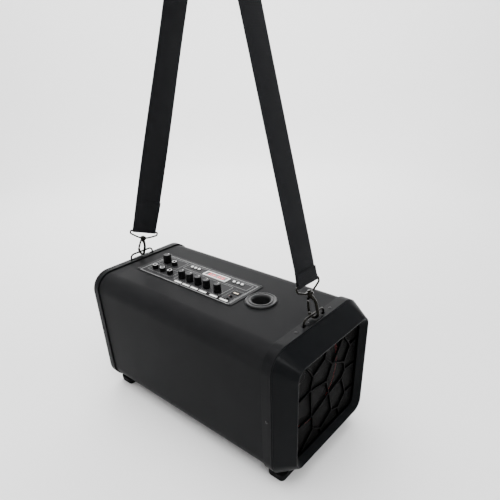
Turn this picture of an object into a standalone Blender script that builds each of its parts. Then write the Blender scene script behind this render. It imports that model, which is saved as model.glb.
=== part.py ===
"""Portable party speaker with a shoulder strap, as an assembly of separate pieces.

Frame: metres, +Z up, +X towards the grille. The origin is on the surface that the
feet stand on, under the middle of the cabinet. Each object is one physical piece.
"""

import math

import bmesh
import bpy
from mathutils import Matrix, Vector

# ---------------------------------------------------------------- driving dimensions

MM = 0.001
GAP = 0.0003                # running and assembly gap between neighbouring pieces

LENGTH = 0.532              # rear frame's back to the grille rim
BODY_SHIFT = 0.0010         # centres the whole outline, the rear hook included, on the origin
CAB_W = 0.260               # cabinet outer width
CAB_H = 0.269               # cabinet outer height
CAB_R = 0.038               # cabinet corner radius
CAB_WALL = 0.012            # board thickness
PROUD = 0.003               # how far the plastic end frames stand out from the cabinet
FOOT_H = 0.016              # from the surface to the end frames' underside
REAR_T = 0.0175             # rear end frame, along X
GASKET_T = 0.0010           # dark seal between rear frame and cabinet
GASKET_INSET = 0.0010
BAND_T = 0.0207             # front frame's straight band, along X
BEZEL_T = 0.0385            # tapered bezel in front of the band
FRAME_WALL = 0.015          # radial thickness of both end frames
FRAME_EDGE = 0.0035         # rounding of the rear frame's outer edge
BAFFLE_T = 0.015            # board that the woofer is screwed to
BAFFLE_HOLE_R = 0.0945
BACK_T = 0.012              # rear panel

RIM_HALF_W = 0.113          # grille rim, outer half width
RIM_HALF_H = 0.1105         # grille rim, outer half height
RIM_RISE = 0.0027           # rim centre above the cabinet's centre
RIM_R = 0.022
RIM_LIP = 0.0028
RECESS_DEPTH = 0.015        # rim to the grille's face
RECESS_INSET = 0.0085       # how far the recess walls slope in
LEDGE = 0.006               # ledge behind the grille's edge
LEDGE_R = 0.012
GRILLE_T = 0.0016
GRILLE_R = 0.016
LATTICE_T = 0.003
LATTICE_BAR = 0.0026        # width of the bars
LATTICE_SEEDS = (            # middles of the lattice's openings from the grille's middle, in mm
    (-78, 2), (-80, -56), (-50, -96), (-12, -46), (12, -94), (78, -80), (36, -34), (-84, 62),
    (-22, 48), (-42, 92), (-30, 6), (22, 22), (84, 36), (78, -18), (76, 86), (14, 84), (44, 62),
)

PANEL_L = 0.281             # control panel plate
PANEL_W = 0.098
PANEL_T = 0.0016
PANEL_X = -0.0727           # plate's middle
PANEL_R = 0.004
PANEL_LAP = (0.008, 0.010)  # how far the plate laps over its opening, along X and across

KNOB_X = (-0.0921, -0.0681, -0.0440, -0.0199, 0.0102)
KNOB_Y = -0.0234
KNOB_R = 0.0080
KNOB_H = 0.0170
KNOB_LIFT = 0.0008           # knob's underside above the plate
VOLUME_XY = (-0.1805, 0.0132)
VOLUME_R = 0.0096
VOLUME_H = 0.0182
SHAFT_R = 0.0030
HOLE_PLAY = 0.0006          # between a shaft and its hole

JACK_XY = ((-0.1775, -0.0240), (-0.1537, -0.0240), (-0.1298, -0.0240), (-0.1555, 0.0115))
JACK_R = 0.0068
JACK_H = 0.0090
JACK_BORE_R = 0.0033
JACK_THREAD_R = 0.0048
JACK_DEPTH = 0.0120
BUTTON_X = (-0.1160, -0.1054, -0.0948, 0.0076, 0.0184, 0.0292)
BUTTON_Y = 0.0280
BUTTON_R = 0.0032
BUTTON_H = 0.0024
SOCKET_DEPTH = 0.0100
DISPLAY_XY = (-0.0396, 0.0246)
DISPLAY_SIZE = (0.0652, 0.0186)
DISPLAY_RIM = 0.0026
DISPLAY_T = 0.0012
USB_XY = (0.0440, -0.0062)
USB_SIZE = (0.0145, 0.0075)
USB_MOUTH = (0.0124, 0.0048)
AUX_XY = (0.0462, -0.0335)
AUX_R = (0.0040, 0.0022)     # outer and bore
CHARGE_XY = (0.0452, -0.0225)
CHARGE_R = (0.0032, 0.0021)

PORT_X = 0.1010             # bass port centre, on the top's centre line
PORT_FLANGE_R = 0.0305
PORT_BORE_R = 0.0170
PORT_LENGTH = 0.060
PORT_WALL = 0.0018
PORT_FLANGE_H = 0.0044

WOOFER_R = 0.1025           # flange of the 8 inch driver
CONE_R = 0.0780

PCB_T = 0.0016
BOARD_HALF = (0.131, 0.041)  # control board
BOARD_DROP = 0.0260          # its underside below the cabinet's top
POT_R = 0.0080
POT_TOP = 0.0080             # top of the potentiometers below the cabinet's top
JACK_BODY = (0.0150, 0.0120, 0.0095)
AMP_STANDOFF = 0.0200        # from the rear panel's outer face
AMP_HALF_W = 0.075
AMP_HEIGHTS = (-0.070, 0.050)  # from the cabinet's middle
SINK_HALF_W = 0.045
SINK_HEIGHTS = (-0.050, 0.030)
SINK_BASE_T = 0.0100
FIN_REACH = 0.0320
FIN_T = 0.0024
FIN_COUNT = 6
BATTERY_X = (-0.1300, 0.0210)
BATTERY_HALF_W = 0.0325
BATTERY_H = 0.0940
BATTERY_STRAP_X = (-0.0700, -0.0450)
BATTERY_STRAP_T = 0.0012
BATTERY_STRAP_FOOT = 0.0200

FOOT_HALF = (0.0190, 0.0230)  # rubber blocks, along X and across
FOOT_R = 0.0090
FOOT_Y = 0.0920
FOOT_X = (-0.2400, 0.2195)

RING_FRONT_INSET = 0.0490    # front ring behind the grille rim
RING_WIRE_R = 0.0020
RING_HALF_W = 0.0300
RING_RISE = 0.0120           # top wire's centre above the frame
RING_DEPTH = 0.0040          # pivot bar's centre below the frame's top
RING_TOP_R = 0.0085
RING_LOW_R = 0.0035
RING_PLAY = 0.0010           # round the ring in its slot
SLOT_DEPTH = 0.0080
CLAMP_HALF = (0.0062, 0.0072)  # half widths of the two clamps along X
CLAMP_HALF_W = 0.0243
CLAMP_R = 0.0060
CLAMP_T = 0.0020
LEAN = (math.radians(23.2), math.radians(15.2))

STRAP_W = 0.050
STRAP_T = 0.0020
STRAP_ARC_R = 0.075          # where the strap goes over a shoulder
STRAP_TWIST = (math.radians(35.0), math.radians(4.0))

# ---------------------------------------------------------------- worked out from those

CAB_Z0 = FOOT_H + PROUD
CAB_Z1 = CAB_Z0 + CAB_H
MID_Z = CAB_Z0 + CAB_H / 2
FRAME_TOP = CAB_Z1 + PROUD
FRAME_HALF_W = CAB_W / 2 + PROUD
FRAME_HALF_H = CAB_H / 2 + PROUD
FRAME_R = CAB_R + PROUD
X_REAR = -LENGTH / 2 + BODY_SHIFT
X_RIM = LENGTH / 2 + BODY_SHIFT
X_REAR1 = X_REAR + REAR_T
X_CAB0 = X_REAR1 + GASKET_T + 2 * GAP
X_BAND1 = X_RIM - BEZEL_T
X_BAND0 = X_BAND1 - GAP - BAND_T
X_CAB1 = X_BAND0 - GAP
X_GRILLE = X_RIM - RECESS_DEPTH
RING_X = (X_REAR + REAR_T / 2, X_RIM - RING_FRONT_INSET)
THROUGH = 0.01              # how far a cutting shape runs past what it cuts
RIM_Z = MID_Z + RIM_RISE
PANEL_Z0 = CAB_Z1 + GAP
PANEL_Z1 = PANEL_Z0 + PANEL_T
WIRE_Z = FRAME_TOP + RING_RISE
INNER_HALF_W = CAB_W / 2 - CAB_WALL
INNER_HALF_H = CAB_H / 2 - CAB_WALL
INNER_R = CAB_R - CAB_WALL

# ---------------------------------------------------------------- materials and helpers


def material(name, colour, roughness, metallic=0.0):
    mat = bpy.data.materials.get(name)
    if mat is None:
        mat = bpy.data.materials.new(name)
        mat.use_nodes = True
        shader = mat.node_tree.nodes["Principled BSDF"]
        shader.inputs["Base Color"].default_value = (*colour, 1.0)
        shader.inputs["Roughness"].default_value = roughness
        shader.inputs["Metallic"].default_value = metallic
    return mat


def leatherette():
    return material("dark_grey_leatherette", (0.060, 0.062, 0.065), 0.62)


def frame_plastic():
    return material("frame_plastic", (0.055, 0.057, 0.060), 0.45)


def black_plastic():
    return material("black_plastic", (0.012, 0.012, 0.013), 0.40)


def white_plastic():
    return material("white_plastic", (0.80, 0.80, 0.79), 0.35)


def black_rubber():
    return material("black_rubber", (0.015, 0.015, 0.015), 0.80)


def dark_chrome():
    return material("dark_chrome", (0.16, 0.16, 0.155), 0.22, 1.0)


def bright_chrome():
    return material("bright_chrome", (0.70, 0.70, 0.70), 0.15, 1.0)


def steel():
    return material("steel", (0.45, 0.45, 0.46), 0.40, 1.0)


def board():
    return material("wood_board", (0.30, 0.20, 0.12), 0.75)


def circuit_board():
    return material("circuit_board", (0.02, 0.11, 0.05), 0.5)


def finish(obj, mat, smooth_angle=35.0):
    """Give an object its material and smooth shading with sharp edges kept."""
    obj.data.materials.append(mat)
    obj.data.shade_smooth()
    obj.data.set_sharp_from_angle(angle=math.radians(smooth_angle))
    return obj


def add_object(name, bm, mat, origin=(0.0, 0.0, 0.0), smooth_angle=35.0):
    """Make a named object from a bmesh drawn in world space, with its origin at a point."""
    bmesh.ops.remove_doubles(bm, verts=bm.verts, dist=1e-6)
    bmesh.ops.recalc_face_normals(bm, faces=bm.faces)
    bmesh.ops.translate(bm, verts=bm.verts, vec=-Vector(origin))
    mesh = bpy.data.meshes.new(name)
    bm.to_mesh(mesh)
    bm.free()
    obj = bpy.data.objects.new(name, mesh)
    obj.location = origin
    bpy.context.scene.collection.objects.link(obj)
    return finish(obj, mat, smooth_angle)


def guide(name, bm):
    """A shape that only cuts or joins others, and isn't a piece itself."""
    obj = add_object("guide_" + name, bm, material("guide", (0.5, 0.1, 0.1), 0.5))
    obj.hide_render = True
    obj.display_type = "WIRE"
    return obj


def boolean(obj, tool, operation="DIFFERENCE"):
    modifier = obj.modifiers.new(operation.lower(), "BOOLEAN")
    modifier.operation = operation
    modifier.solver = "EXACT"
    modifier.object = tool
    return obj


def bevel(obj, width, segments=2, angle=40.0):
    modifier = obj.modifiers.new("edge", "BEVEL")
    modifier.width = width
    modifier.segments = segments
    modifier.limit_method = "ANGLE"
    modifier.angle_limit = math.radians(angle)
    return obj


def rounded_rect(half_a, half_b, radius, steps=7):
    """Points of a rectangle with round corners, anticlockwise."""
    corners = ((1, 1, 0), (-1, 1, 90), (-1, -1, 180), (1, -1, 270))
    points = []
    for sign_a, sign_b, start in corners:
        for i in range(steps + 1):
            angle = math.radians(start + 90.0 * i / steps)
            a = sign_a * (half_a - radius) + radius * math.cos(angle)
            b = sign_b * (half_b - radius) + radius * math.sin(angle)
            points.append((a, b))
    return points


def loft(bm, loops, closed=False):
    """Skin a list of equal-length vertex loops, capped at both ends unless closed."""
    rings = [[bm.verts.new(p) for p in loop] for loop in loops]
    pairs = list(zip(rings, rings[1:]))
    if closed:
        pairs.append((rings[-1], rings[0]))
    for first, second in pairs:
        count = len(first)
        for i in range(count):
            j = (i + 1) % count
            bm.faces.new((first[i], first[j], second[j], second[i]))
    if not closed:
        bm.faces.new(reversed(rings[0]))
        bm.faces.new(rings[-1])
    return bm


def loop_at_x(x, half_y, half_z, radius, mid_z=MID_Z, steps=7):
    outline = rounded_rect(half_y, half_z, radius, steps)
    return [(x, a, mid_z + b) for a, b in outline]


def plate_z(half_a, half_b, radius, z0, z1, centre=(0.0, 0.0), steps=4):
    """A flat plate with round corners, lying level."""
    outline = rounded_rect(half_a, half_b, radius, steps)
    cx, cy = centre
    return loft(bmesh.new(), [[(cx + a, cy + b, z) for a, b in outline] for z in (z0, z1)])


def box(low, high):
    bm = bmesh.new()
    size = Vector(high) - Vector(low)
    centre = (Vector(high) + Vector(low)) / 2
    matrix = Matrix.Translation(centre) @ Matrix.Diagonal((*size, 1.0))
    bmesh.ops.create_cube(bm, size=1.0, matrix=matrix)
    return bm


def spun(profile, steps, centre=(0.0, 0.0, 0.0), axis=(0.0, 0.0, 1.0)):
    """Turn a profile of (radius, height) points about an axis through a centre.

    A profile that ends on the axis at both ends is a solid; otherwise it is closed
    into a ring by the caller repeating its first point.
    """
    bm = bmesh.new()
    verts = [bm.verts.new((r, 0.0, h)) for r, h in profile]
    edges = [bm.edges.new(pair) for pair in zip(verts, verts[1:])]
    bmesh.ops.spin(bm, geom=verts + edges, cent=(0, 0, 0), axis=(0, 0, 1),
                   angle=2 * math.pi, steps=steps, use_merge=False)
    bmesh.ops.remove_doubles(bm, verts=bm.verts, dist=1e-6)
    turn = Vector((0, 0, 1)).rotation_difference(Vector(axis)).to_matrix().to_4x4()
    bmesh.ops.transform(bm, verts=bm.verts, matrix=Matrix.Translation(centre) @ turn)
    return bm


def cylinder(radius, z0, z1, centre, steps=20):
    profile = [(0.0, z0), (radius, z0), (radius, z1), (0.0, z1)]
    return spun(profile, steps, (centre[0], centre[1], 0.0))


def tube(bm, points, radius, sides=8, closed=False, side=(0.0, 1.0, 0.0)):
    """A round bar along a path; its ring of sides starts from one fixed direction."""
    points = [Vector(p) for p in points]
    count = len(points)
    side = Vector(side).normalized()
    rings = []
    for i, point in enumerate(points):
        before = points[i - 1] if (i or closed) else point
        after = points[(i + 1) % count] if (i < count - 1 or closed) else point
        tangent = (after - before).normalized()
        across = (side - tangent * side.dot(tangent)).normalized()
        other = tangent.cross(across)
        ring = []
        for k in range(sides):
            angle = 2 * math.pi * (k + 0.5) / sides
            ring.append(point + radius * (math.cos(angle) * across + math.sin(angle) * other))
        rings.append(ring)
    return loft(bm, rings, closed)


def arc(centre, radius, start, end, steps):
    """Points (a, b) of an arc, in degrees, in the plane the caller uses."""
    points = []
    for i in range(steps + 1):
        angle = math.radians(start + (end - start) * i / steps)
        points.append((centre[0] + radius * math.cos(angle), centre[1] + radius * math.sin(angle)))
    return points


# ---------------------------------------------------------------- cabinet and end frames


def make_cabinet():
    outer = (CAB_W / 2, CAB_H / 2, CAB_R)
    inner = (INNER_HALF_W, INNER_HALF_H, INNER_R)
    loops = [
        loop_at_x(X_CAB0, *outer),
        loop_at_x(X_CAB1, *outer),
        loop_at_x(X_CAB1, *inner),
        loop_at_x(X_CAB0, *inner),
    ]
    shell = add_object("cabinet_shell", loft(bmesh.new(), loops, closed=True), leatherette())
    low = CAB_Z1 - CAB_WALL - THROUGH
    high = CAB_Z1 + THROUGH
    cut = plate_z(PANEL_L / 2 - PANEL_LAP[0], PANEL_W / 2 - PANEL_LAP[1], PANEL_R, low, high,
                  (PANEL_X, 0.0))
    boolean(shell, guide("panel_cutout", cut))
    port_r = PORT_BORE_R + PORT_WALL + GAP
    boolean(shell, guide("port_hole", cylinder(port_r, low, high, (PORT_X, 0.0), 28)))


def make_baffles():
    inner = (INNER_HALF_W - GAP, INNER_HALF_H - GAP, INNER_R)
    front = loft(bmesh.new(), [loop_at_x(X_CAB1 - BAFFLE_T, *inner), loop_at_x(X_CAB1, *inner)])
    front = add_object("front_baffle", front, board())
    reach = BAFFLE_T + THROUGH
    hole = spun([(0.0, -reach), (BAFFLE_HOLE_R, -reach), (BAFFLE_HOLE_R, reach), (0.0, reach)], 40,
                (X_CAB1, 0.0, MID_Z), (1, 0, 0))
    boolean(front, guide("woofer_hole", hole))
    rear = [loop_at_x(X_CAB0 + x, *inner) for x in (0.0, BACK_T)]
    add_object("rear_panel", loft(bmesh.new(), rear), leatherette())


def make_ring_pocket(frame, x, rebate_half):
    """The slot that holds a strap ring's pivot bar, and the rebate for its clamp."""
    half_x = RING_WIRE_R + RING_PLAY
    half_y = RING_HALF_W + half_x
    high = FRAME_TOP + THROUGH
    slot = box((x - half_x, -half_y, FRAME_TOP - SLOT_DEPTH), (x + half_x, half_y, high))
    boolean(frame, guide("ring_slot", slot))
    rebate = plate_z(rebate_half, CLAMP_HALF_W, CLAMP_R, FRAME_TOP - CLAMP_T, high, (x, 0.0))
    boolean(frame, guide("clamp_rebate", rebate))


def make_end_frames():
    edge = FRAME_EDGE
    inner = (FRAME_HALF_W - FRAME_WALL, FRAME_HALF_H - FRAME_WALL, FRAME_R - FRAME_WALL)
    rear_loops = [
        loop_at_x(X_REAR1, FRAME_HALF_W, FRAME_HALF_H, FRAME_R),
        loop_at_x(X_REAR + edge, FRAME_HALF_W, FRAME_HALF_H, FRAME_R),
        loop_at_x(X_REAR + edge * 0.3, FRAME_HALF_W - edge * 0.3, FRAME_HALF_H - edge * 0.3, FRAME_R),
        loop_at_x(X_REAR, FRAME_HALF_W - edge, FRAME_HALF_H - edge, FRAME_R - edge),
        loop_at_x(X_REAR, inner[0] + 0.002, inner[1] + 0.002, inner[2]),
        loop_at_x(X_REAR + 0.002, *inner),
        loop_at_x(X_REAR1, inner[0] - 0.004, inner[1] - 0.004, inner[2] - 0.002),
    ]
    rear = add_object("rear_frame", loft(bmesh.new(), rear_loops, closed=True), frame_plastic())
    make_ring_pocket(rear, RING_X[0], CLAMP_HALF[0])

    x0 = X_REAR1 + GAP
    x1 = x0 + GASKET_T
    gasket_loops = []
    for x, inset in ((x0, GASKET_INSET), (x1, GASKET_INSET), (x1, CAB_WALL - GASKET_INSET),
                     (x0, CAB_WALL - GASKET_INSET)):
        gasket_loops.append(loop_at_x(x, CAB_W / 2 - inset, CAB_H / 2 - inset, CAB_R - inset))
    add_object("rear_gasket", loft(bmesh.new(), gasket_loops, closed=True), black_rubber())

    band_loops = [
        loop_at_x(X_BAND0, *inner),
        loop_at_x(X_BAND0, FRAME_HALF_W - 0.001, FRAME_HALF_H - 0.001, FRAME_R),
        loop_at_x(X_BAND0 + 0.001, FRAME_HALF_W, FRAME_HALF_H, FRAME_R),
        loop_at_x(X_BAND0 + BAND_T, FRAME_HALF_W, FRAME_HALF_H, FRAME_R),
        loop_at_x(X_BAND0 + BAND_T, *inner),
    ]
    band = add_object("front_frame", loft(bmesh.new(), band_loops, closed=True), frame_plastic())
    make_ring_pocket(band, RING_X[1], CLAMP_HALF[1])


def make_bezel():
    """Tapered surround, its rim, the sloping recess walls and the ledge for the grille."""
    wall_w = RIM_HALF_W - RIM_LIP
    wall_h = RIM_HALF_H - RIM_LIP
    deep_w = wall_w - RECESS_INSET
    deep_h = wall_h - RECESS_INSET
    ledge_loop = (deep_w - LEDGE, deep_h - LEDGE, LEDGE_R, RIM_Z)
    deep_r = GRILLE_R + GAP
    loops = [
        loop_at_x(X_BAND1, *ledge_loop),
        loop_at_x(X_BAND1, FRAME_HALF_W - 0.0004, FRAME_HALF_H - 0.0004, FRAME_R - 0.002),
        loop_at_x(X_RIM - 0.0015, RIM_HALF_W + 0.0006, RIM_HALF_H + 0.0006, RIM_R, RIM_Z),
        loop_at_x(X_RIM - 0.0004, RIM_HALF_W, RIM_HALF_H, RIM_R, RIM_Z),
        loop_at_x(X_RIM, RIM_HALF_W - 0.0007, RIM_HALF_H - 0.0007, RIM_R - 0.0007, RIM_Z),
        loop_at_x(X_RIM, wall_w, wall_h, RIM_R - RIM_LIP, RIM_Z),
        loop_at_x(X_GRILLE, deep_w, deep_h, deep_r, RIM_Z),
        loop_at_x(X_GRILLE - GRILLE_T, deep_w, deep_h, deep_r, RIM_Z),
        loop_at_x(X_GRILLE - GRILLE_T, *ledge_loop),
    ]
    add_object("front_bezel", loft(bmesh.new(), loops, closed=True), frame_plastic())
    return deep_w, deep_h


# ---------------------------------------------------------------- grille


def clip_polygon(polygon, point, normal):
    """Keep the part of a convex polygon on the far side of a line from its normal."""
    kept = []
    for i, current in enumerate(polygon):
        following = polygon[(i + 1) % len(polygon)]
        here = (current - point).dot(normal)
        there = (following - point).dot(normal)
        if here <= 0:
            kept.append(current)
        if here * there < 0:
            kept.append(current + (following - current) * (here / (here - there)))
    return kept


def lattice_cells(half_w, half_h, bar):
    """Openings between the lattice bars: the cells nearest each seed, drawn in by half a bar."""
    seeds = [Vector((a * MM, b * MM)) for a, b in LATTICE_SEEDS]
    frame = [Vector((-half_w, -half_h)), Vector((half_w, -half_h)),
             Vector((half_w, half_h)), Vector((-half_w, half_h))]
    cells = []
    for seed in seeds:
        polygon = frame
        for other in seeds:
            if other is seed or not polygon:
                continue
            normal = (other - seed).normalized()
            middle = (seed + other) / 2 - normal * bar / 2
            polygon = clip_polygon(polygon, middle, normal)
        if len(polygon) >= 3:
            cells.append(polygon)
    return cells


def make_grille(half_w, half_h):
    mesh_half = (half_w - GAP, half_h - GAP, GRILLE_R)
    x_back = X_GRILLE - GRILLE_T + GAP
    plate = [loop_at_x(x, *mesh_half, RIM_Z) for x in (x_back, X_GRILLE - GAP)]
    add_object("grille_mesh", loft(bmesh.new(), plate), steel())

    lattice_half = (half_w - 2 * GAP, half_h - 2 * GAP, GRILLE_R)
    x0 = X_GRILLE
    x1 = X_GRILLE + LATTICE_T
    loops = [loop_at_x(x, *lattice_half, RIM_Z) for x in (x0, x1)]
    lattice = add_object("grille_lattice", loft(bmesh.new(), loops), black_plastic())
    inside = (lattice_half[0] - LATTICE_BAR, lattice_half[1] - LATTICE_BAR, GRILLE_R - LATTICE_BAR)
    cutters = bmesh.new()
    for cell in lattice_cells(inside[0], inside[1], LATTICE_BAR):
        loft(cutters, [[(x, p.x, RIM_Z + p.y) for p in cell] for x in (x0 - THROUGH, x1 + THROUGH)])
    ends = (x0 - THROUGH / 2, x1 + THROUGH / 2)
    corner_keep = loft(bmesh.new(), [loop_at_x(x, *inside, RIM_Z) for x in ends])
    tool = guide("lattice_cells", cutters)
    boolean(tool, guide("lattice_inside", corner_keep), "INTERSECT")
    boolean(lattice, tool)


# ---------------------------------------------------------------- woofer


def make_woofer():
    """An 8 inch driver, turned about the X axis; heights are distances along +X."""
    face = X_CAB1 + GAP * 2
    centre = (0.0, 0.0, MID_Z)
    steps = 24

    def turned(name, profile, mat, count=steps):
        shifted = [(r, face + h) for r, h in profile]
        return add_object(name, spun(shifted, count, centre, (1, 0, 0)), mat)

    basket = [(WOOFER_R, 0.0), (WOOFER_R, 0.004), (0.0925, 0.004), (0.0880, 0.0010),
              (0.0730, -0.0540), (0.0520, -0.0780), (0.0300, -0.0780), (0.0300, -0.0805),
              (0.0535, -0.0805), (0.0755, -0.0560), (0.0915, 0.0000), (WOOFER_R, 0.0)]
    turned("woofer_basket", basket, material("basket_steel", (0.03, 0.03, 0.03), 0.5, 0.3))

    magnet = [(0.0, -0.1160), (0.0540, -0.1160), (0.0550, -0.1150), (0.0550, -0.0820),
              (0.0540, -0.0810), (0.0272, -0.0810), (0.0272, -0.1040), (0.0240, -0.1040),
              (0.0240, -0.0790), (0.0, -0.0790)]
    turned("woofer_magnet", magnet, steel())

    roll_mid = 0.0852
    roll = arc((roll_mid, 0.0046), 0.0052, 0, 180, 5)
    inner_roll = arc((roll_mid, 0.0046), 0.0042, 180, 0, 5)
    surround = [(0.0922, 0.0043)] + [(0.0922, 0.0055)] + roll[1:]
    surround += [(0.0792, 0.0046), (0.0792, 0.0036), (0.0810, 0.0036)] + inner_roll[1:]
    surround += [(0.0922, 0.0043)]
    turned("woofer_surround", surround, black_rubber())

    cone = [(CONE_R, 0.0040), (CONE_R, 0.0052), (0.0755, 0.0052), (0.0500, -0.0200),
            (0.0262, -0.0370), (0.0262, -0.0390), (0.0500, -0.0216), (0.0750, 0.0034),
            (CONE_R, 0.0040)]
    turned("woofer_cone", cone, material("paper_cone", (0.02, 0.02, 0.02), 0.85))

    dome_z = -0.0396
    outer = arc((0.0, dome_z), 0.0300, 12, 90, 5)
    inner = arc((0.0, dome_z), 0.0290, 90, 14, 3)
    turned("dust_cap", outer + inner + [outer[0]], black_plastic())

    coil = [(0.0254, -0.0960), (0.0260, -0.0960), (0.0260, -0.0425), (0.0254, -0.0425),
            (0.0254, -0.0960)]
    turned("voice_coil", coil, material("copper", (0.55, 0.25, 0.12), 0.35, 1.0), 16)

    spider = [(0.0270, -0.0640), (0.0330, -0.0626), (0.0400, -0.0654), (0.0460, -0.0626),
              (0.0520, -0.0640), (0.0520, -0.0649), (0.0460, -0.0635), (0.0400, -0.0663),
              (0.0330, -0.0635), (0.0270, -0.0649), (0.0270, -0.0640)]
    turned("spider", spider, material("spider_cloth", (0.45, 0.33, 0.15), 0.9), 16)

    led = [(0.0938, 0.0043), (0.0990, 0.0043), (0.0990, 0.0063), (0.0976, 0.0073),
           (0.0952, 0.0073), (0.0938, 0.0063), (0.0938, 0.0043)]
    turned("led_ring", led, material("red_light_guide", (0.75, 0.03, 0.03), 0.35))


def make_bass_port():
    bore = PORT_BORE_R
    z = CAB_Z1 + GAP
    lip = PORT_FLANGE_H
    profile = [(bore, -0.004), (bore + 0.0008, 0.0), (bore + 0.0026, lip - 0.0014),
               (bore + 0.0056, lip), (PORT_FLANGE_R - 0.0050, lip),
               (PORT_FLANGE_R - 0.0018, 0.0032), (PORT_FLANGE_R, 0.0010), (PORT_FLANGE_R, 0.0),
               (bore + PORT_WALL, 0.0), (bore + PORT_WALL, -PORT_LENGTH), (bore, -PORT_LENGTH),
               (bore, -0.004)]
    add_object("bass_port", spun(profile, 28, (PORT_X, 0.0, z)), black_plastic())


# ---------------------------------------------------------------- control panel


def knob_places():
    return [(x, KNOB_Y) for x in KNOB_X]


def make_panel():
    bm = plate_z(PANEL_L / 2, PANEL_W / 2, PANEL_R, PANEL_Z0, PANEL_Z1, (PANEL_X, 0.0))
    panel = add_object("control_panel", bm, black_plastic())
    low = PANEL_Z0 - THROUGH
    high = PANEL_Z1 + THROUGH
    cutters = bmesh.new()

    def hole(centre, radius, steps=10):
        pin = cylinder(radius, low, high, centre, steps)
        merge(cutters, pin)

    for centre in knob_places() + [VOLUME_XY]:
        hole(centre, SHAFT_R + HOLE_PLAY)
    for centre in JACK_XY:
        hole(centre, JACK_THREAD_R + HOLE_PLAY)
    for x in BUTTON_X:
        hole((x, BUTTON_Y), BUTTON_R + HOLE_PLAY, 14)
    hole(AUX_XY, AUX_R[0] + GAP)
    hole(CHARGE_XY, CHARGE_R[0] + GAP)
    for (cx, cy), (sx, sy), grow in ((USB_XY, USB_SIZE, GAP), (DISPLAY_XY, DISPLAY_SIZE, -DISPLAY_RIM)):
        half_x = sx / 2 + grow
        half_y = sy / 2 + grow
        merge(cutters, box((cx - half_x, cy - half_y, low), (cx + half_x, cy + half_y, high)))
    boolean(panel, guide("panel_holes", cutters))


def merge(target, extra):
    """Add one bmesh's shapes to another."""
    mesh = bpy.data.meshes.new("scratch")
    extra.to_mesh(mesh)
    extra.free()
    target.from_mesh(mesh)
    bpy.data.meshes.remove(mesh)


def make_knob(name, centre, radius, height):
    """A knob with its shaft, turning about the shaft's axis."""
    z = PANEL_Z1 + KNOB_LIFT
    shaft_end = CAB_Z1 - 0.0070
    profile = [(0.0, shaft_end - z), (SHAFT_R, shaft_end - z), (SHAFT_R, 0.0), (radius * 0.94, 0.0),
               (radius, 0.0012), (radius, 0.0030), (radius * 0.93, 0.0042),
               (radius * 0.88, height - 0.0012), (radius * 0.80, height), (0.0, height)]
    add_object(name, spun(profile, 18, (*centre, z)), black_plastic(), (*centre, z))


def make_jack(name, centre):
    bore = JACK_BORE_R
    z = PANEL_Z1 + GAP
    thread = JACK_THREAD_R
    profile = [(bore, -JACK_DEPTH), (bore, JACK_H - 0.0006), (bore + 0.0006, JACK_H),
               (JACK_R - 0.0008, JACK_H), (JACK_R, JACK_H - 0.0008), (JACK_R, 0.0),
               (thread, 0.0), (thread, -JACK_DEPTH), (bore, -JACK_DEPTH)]
    add_object(name, spun(profile, 16, (*centre, z)), black_plastic())


def make_controls():
    for i, centre in enumerate(knob_places()):
        make_knob("tone_knob_%d" % (i + 1), centre, KNOB_R, KNOB_H)
    make_knob("volume_knob", VOLUME_XY, VOLUME_R, VOLUME_H)
    for i, centre in enumerate(JACK_XY):
        make_jack("input_jack_%d" % (i + 1), centre)
    for i, x in enumerate(BUTTON_X):
        r = BUTTON_R
        z = PANEL_Z1 + BUTTON_H
        profile = [(0.0, PANEL_Z0 - 0.0025 - z), (r, PANEL_Z0 - 0.0025 - z), (r, -0.0007),
                   (r * 0.86, -0.0001), (0.0, 0.0)]
        add_object("push_button_%d" % (i + 1), spun(profile, 14, (x, BUTTON_Y, z)),
                   white_plastic(), (x, BUTTON_Y, z))

    cx, cy = USB_XY
    half_x = USB_SIZE[0] / 2
    half_y = USB_SIZE[1] / 2
    top = PANEL_Z1 + 0.0008
    shell = add_object("usb_port", box((cx - half_x, cy - half_y, PANEL_Z0 - 0.011),
                                       (cx + half_x, cy + half_y, top)), bright_chrome())
    mouth_x = USB_MOUTH[0] / 2
    mouth_y = USB_MOUTH[1] / 2
    mouth = box((cx - mouth_x, cy - mouth_y, top - 0.0105), (cx + mouth_x, cy + mouth_y, top + THROUGH))
    boolean(shell, guide("usb_mouth", mouth))

    for name, centre, (outer, inner) in (("aux_jack", AUX_XY, AUX_R), ("charge_socket", CHARGE_XY, CHARGE_R)):
        profile = [(inner, -SOCKET_DEPTH), (inner, 0.0018), (outer - 0.0006, 0.0018), (outer, 0.0012),
                   (outer, -SOCKET_DEPTH), (inner, -SOCKET_DEPTH)]
        add_object(name, spun(profile, 12, (*centre, PANEL_Z1)), black_plastic())


def make_display():
    half_x = DISPLAY_SIZE[0] / 2
    half_y = DISPLAY_SIZE[1] / 2
    z0 = PANEL_Z1 + GAP
    frame = add_object("display_frame", plate_z(half_x, half_y, 0.0015, z0, z0 + DISPLAY_T,
                                                DISPLAY_XY), white_plastic())
    half_x -= DISPLAY_RIM
    half_y -= DISPLAY_RIM
    window = plate_z(half_x, half_y, 0.0006, z0 - THROUGH, z0 + THROUGH, DISPLAY_XY)
    boolean(frame, guide("display_opening", window))
    lens = plate_z(half_x - GAP, half_y - GAP, 0.0006, PANEL_Z0 - 0.0015, z0 + DISPLAY_T / 3, DISPLAY_XY)
    add_object("display_window", lens, material("smoked_window", (0.05, 0.01, 0.01), 0.1))


# ---------------------------------------------------------------- electronics


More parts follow.
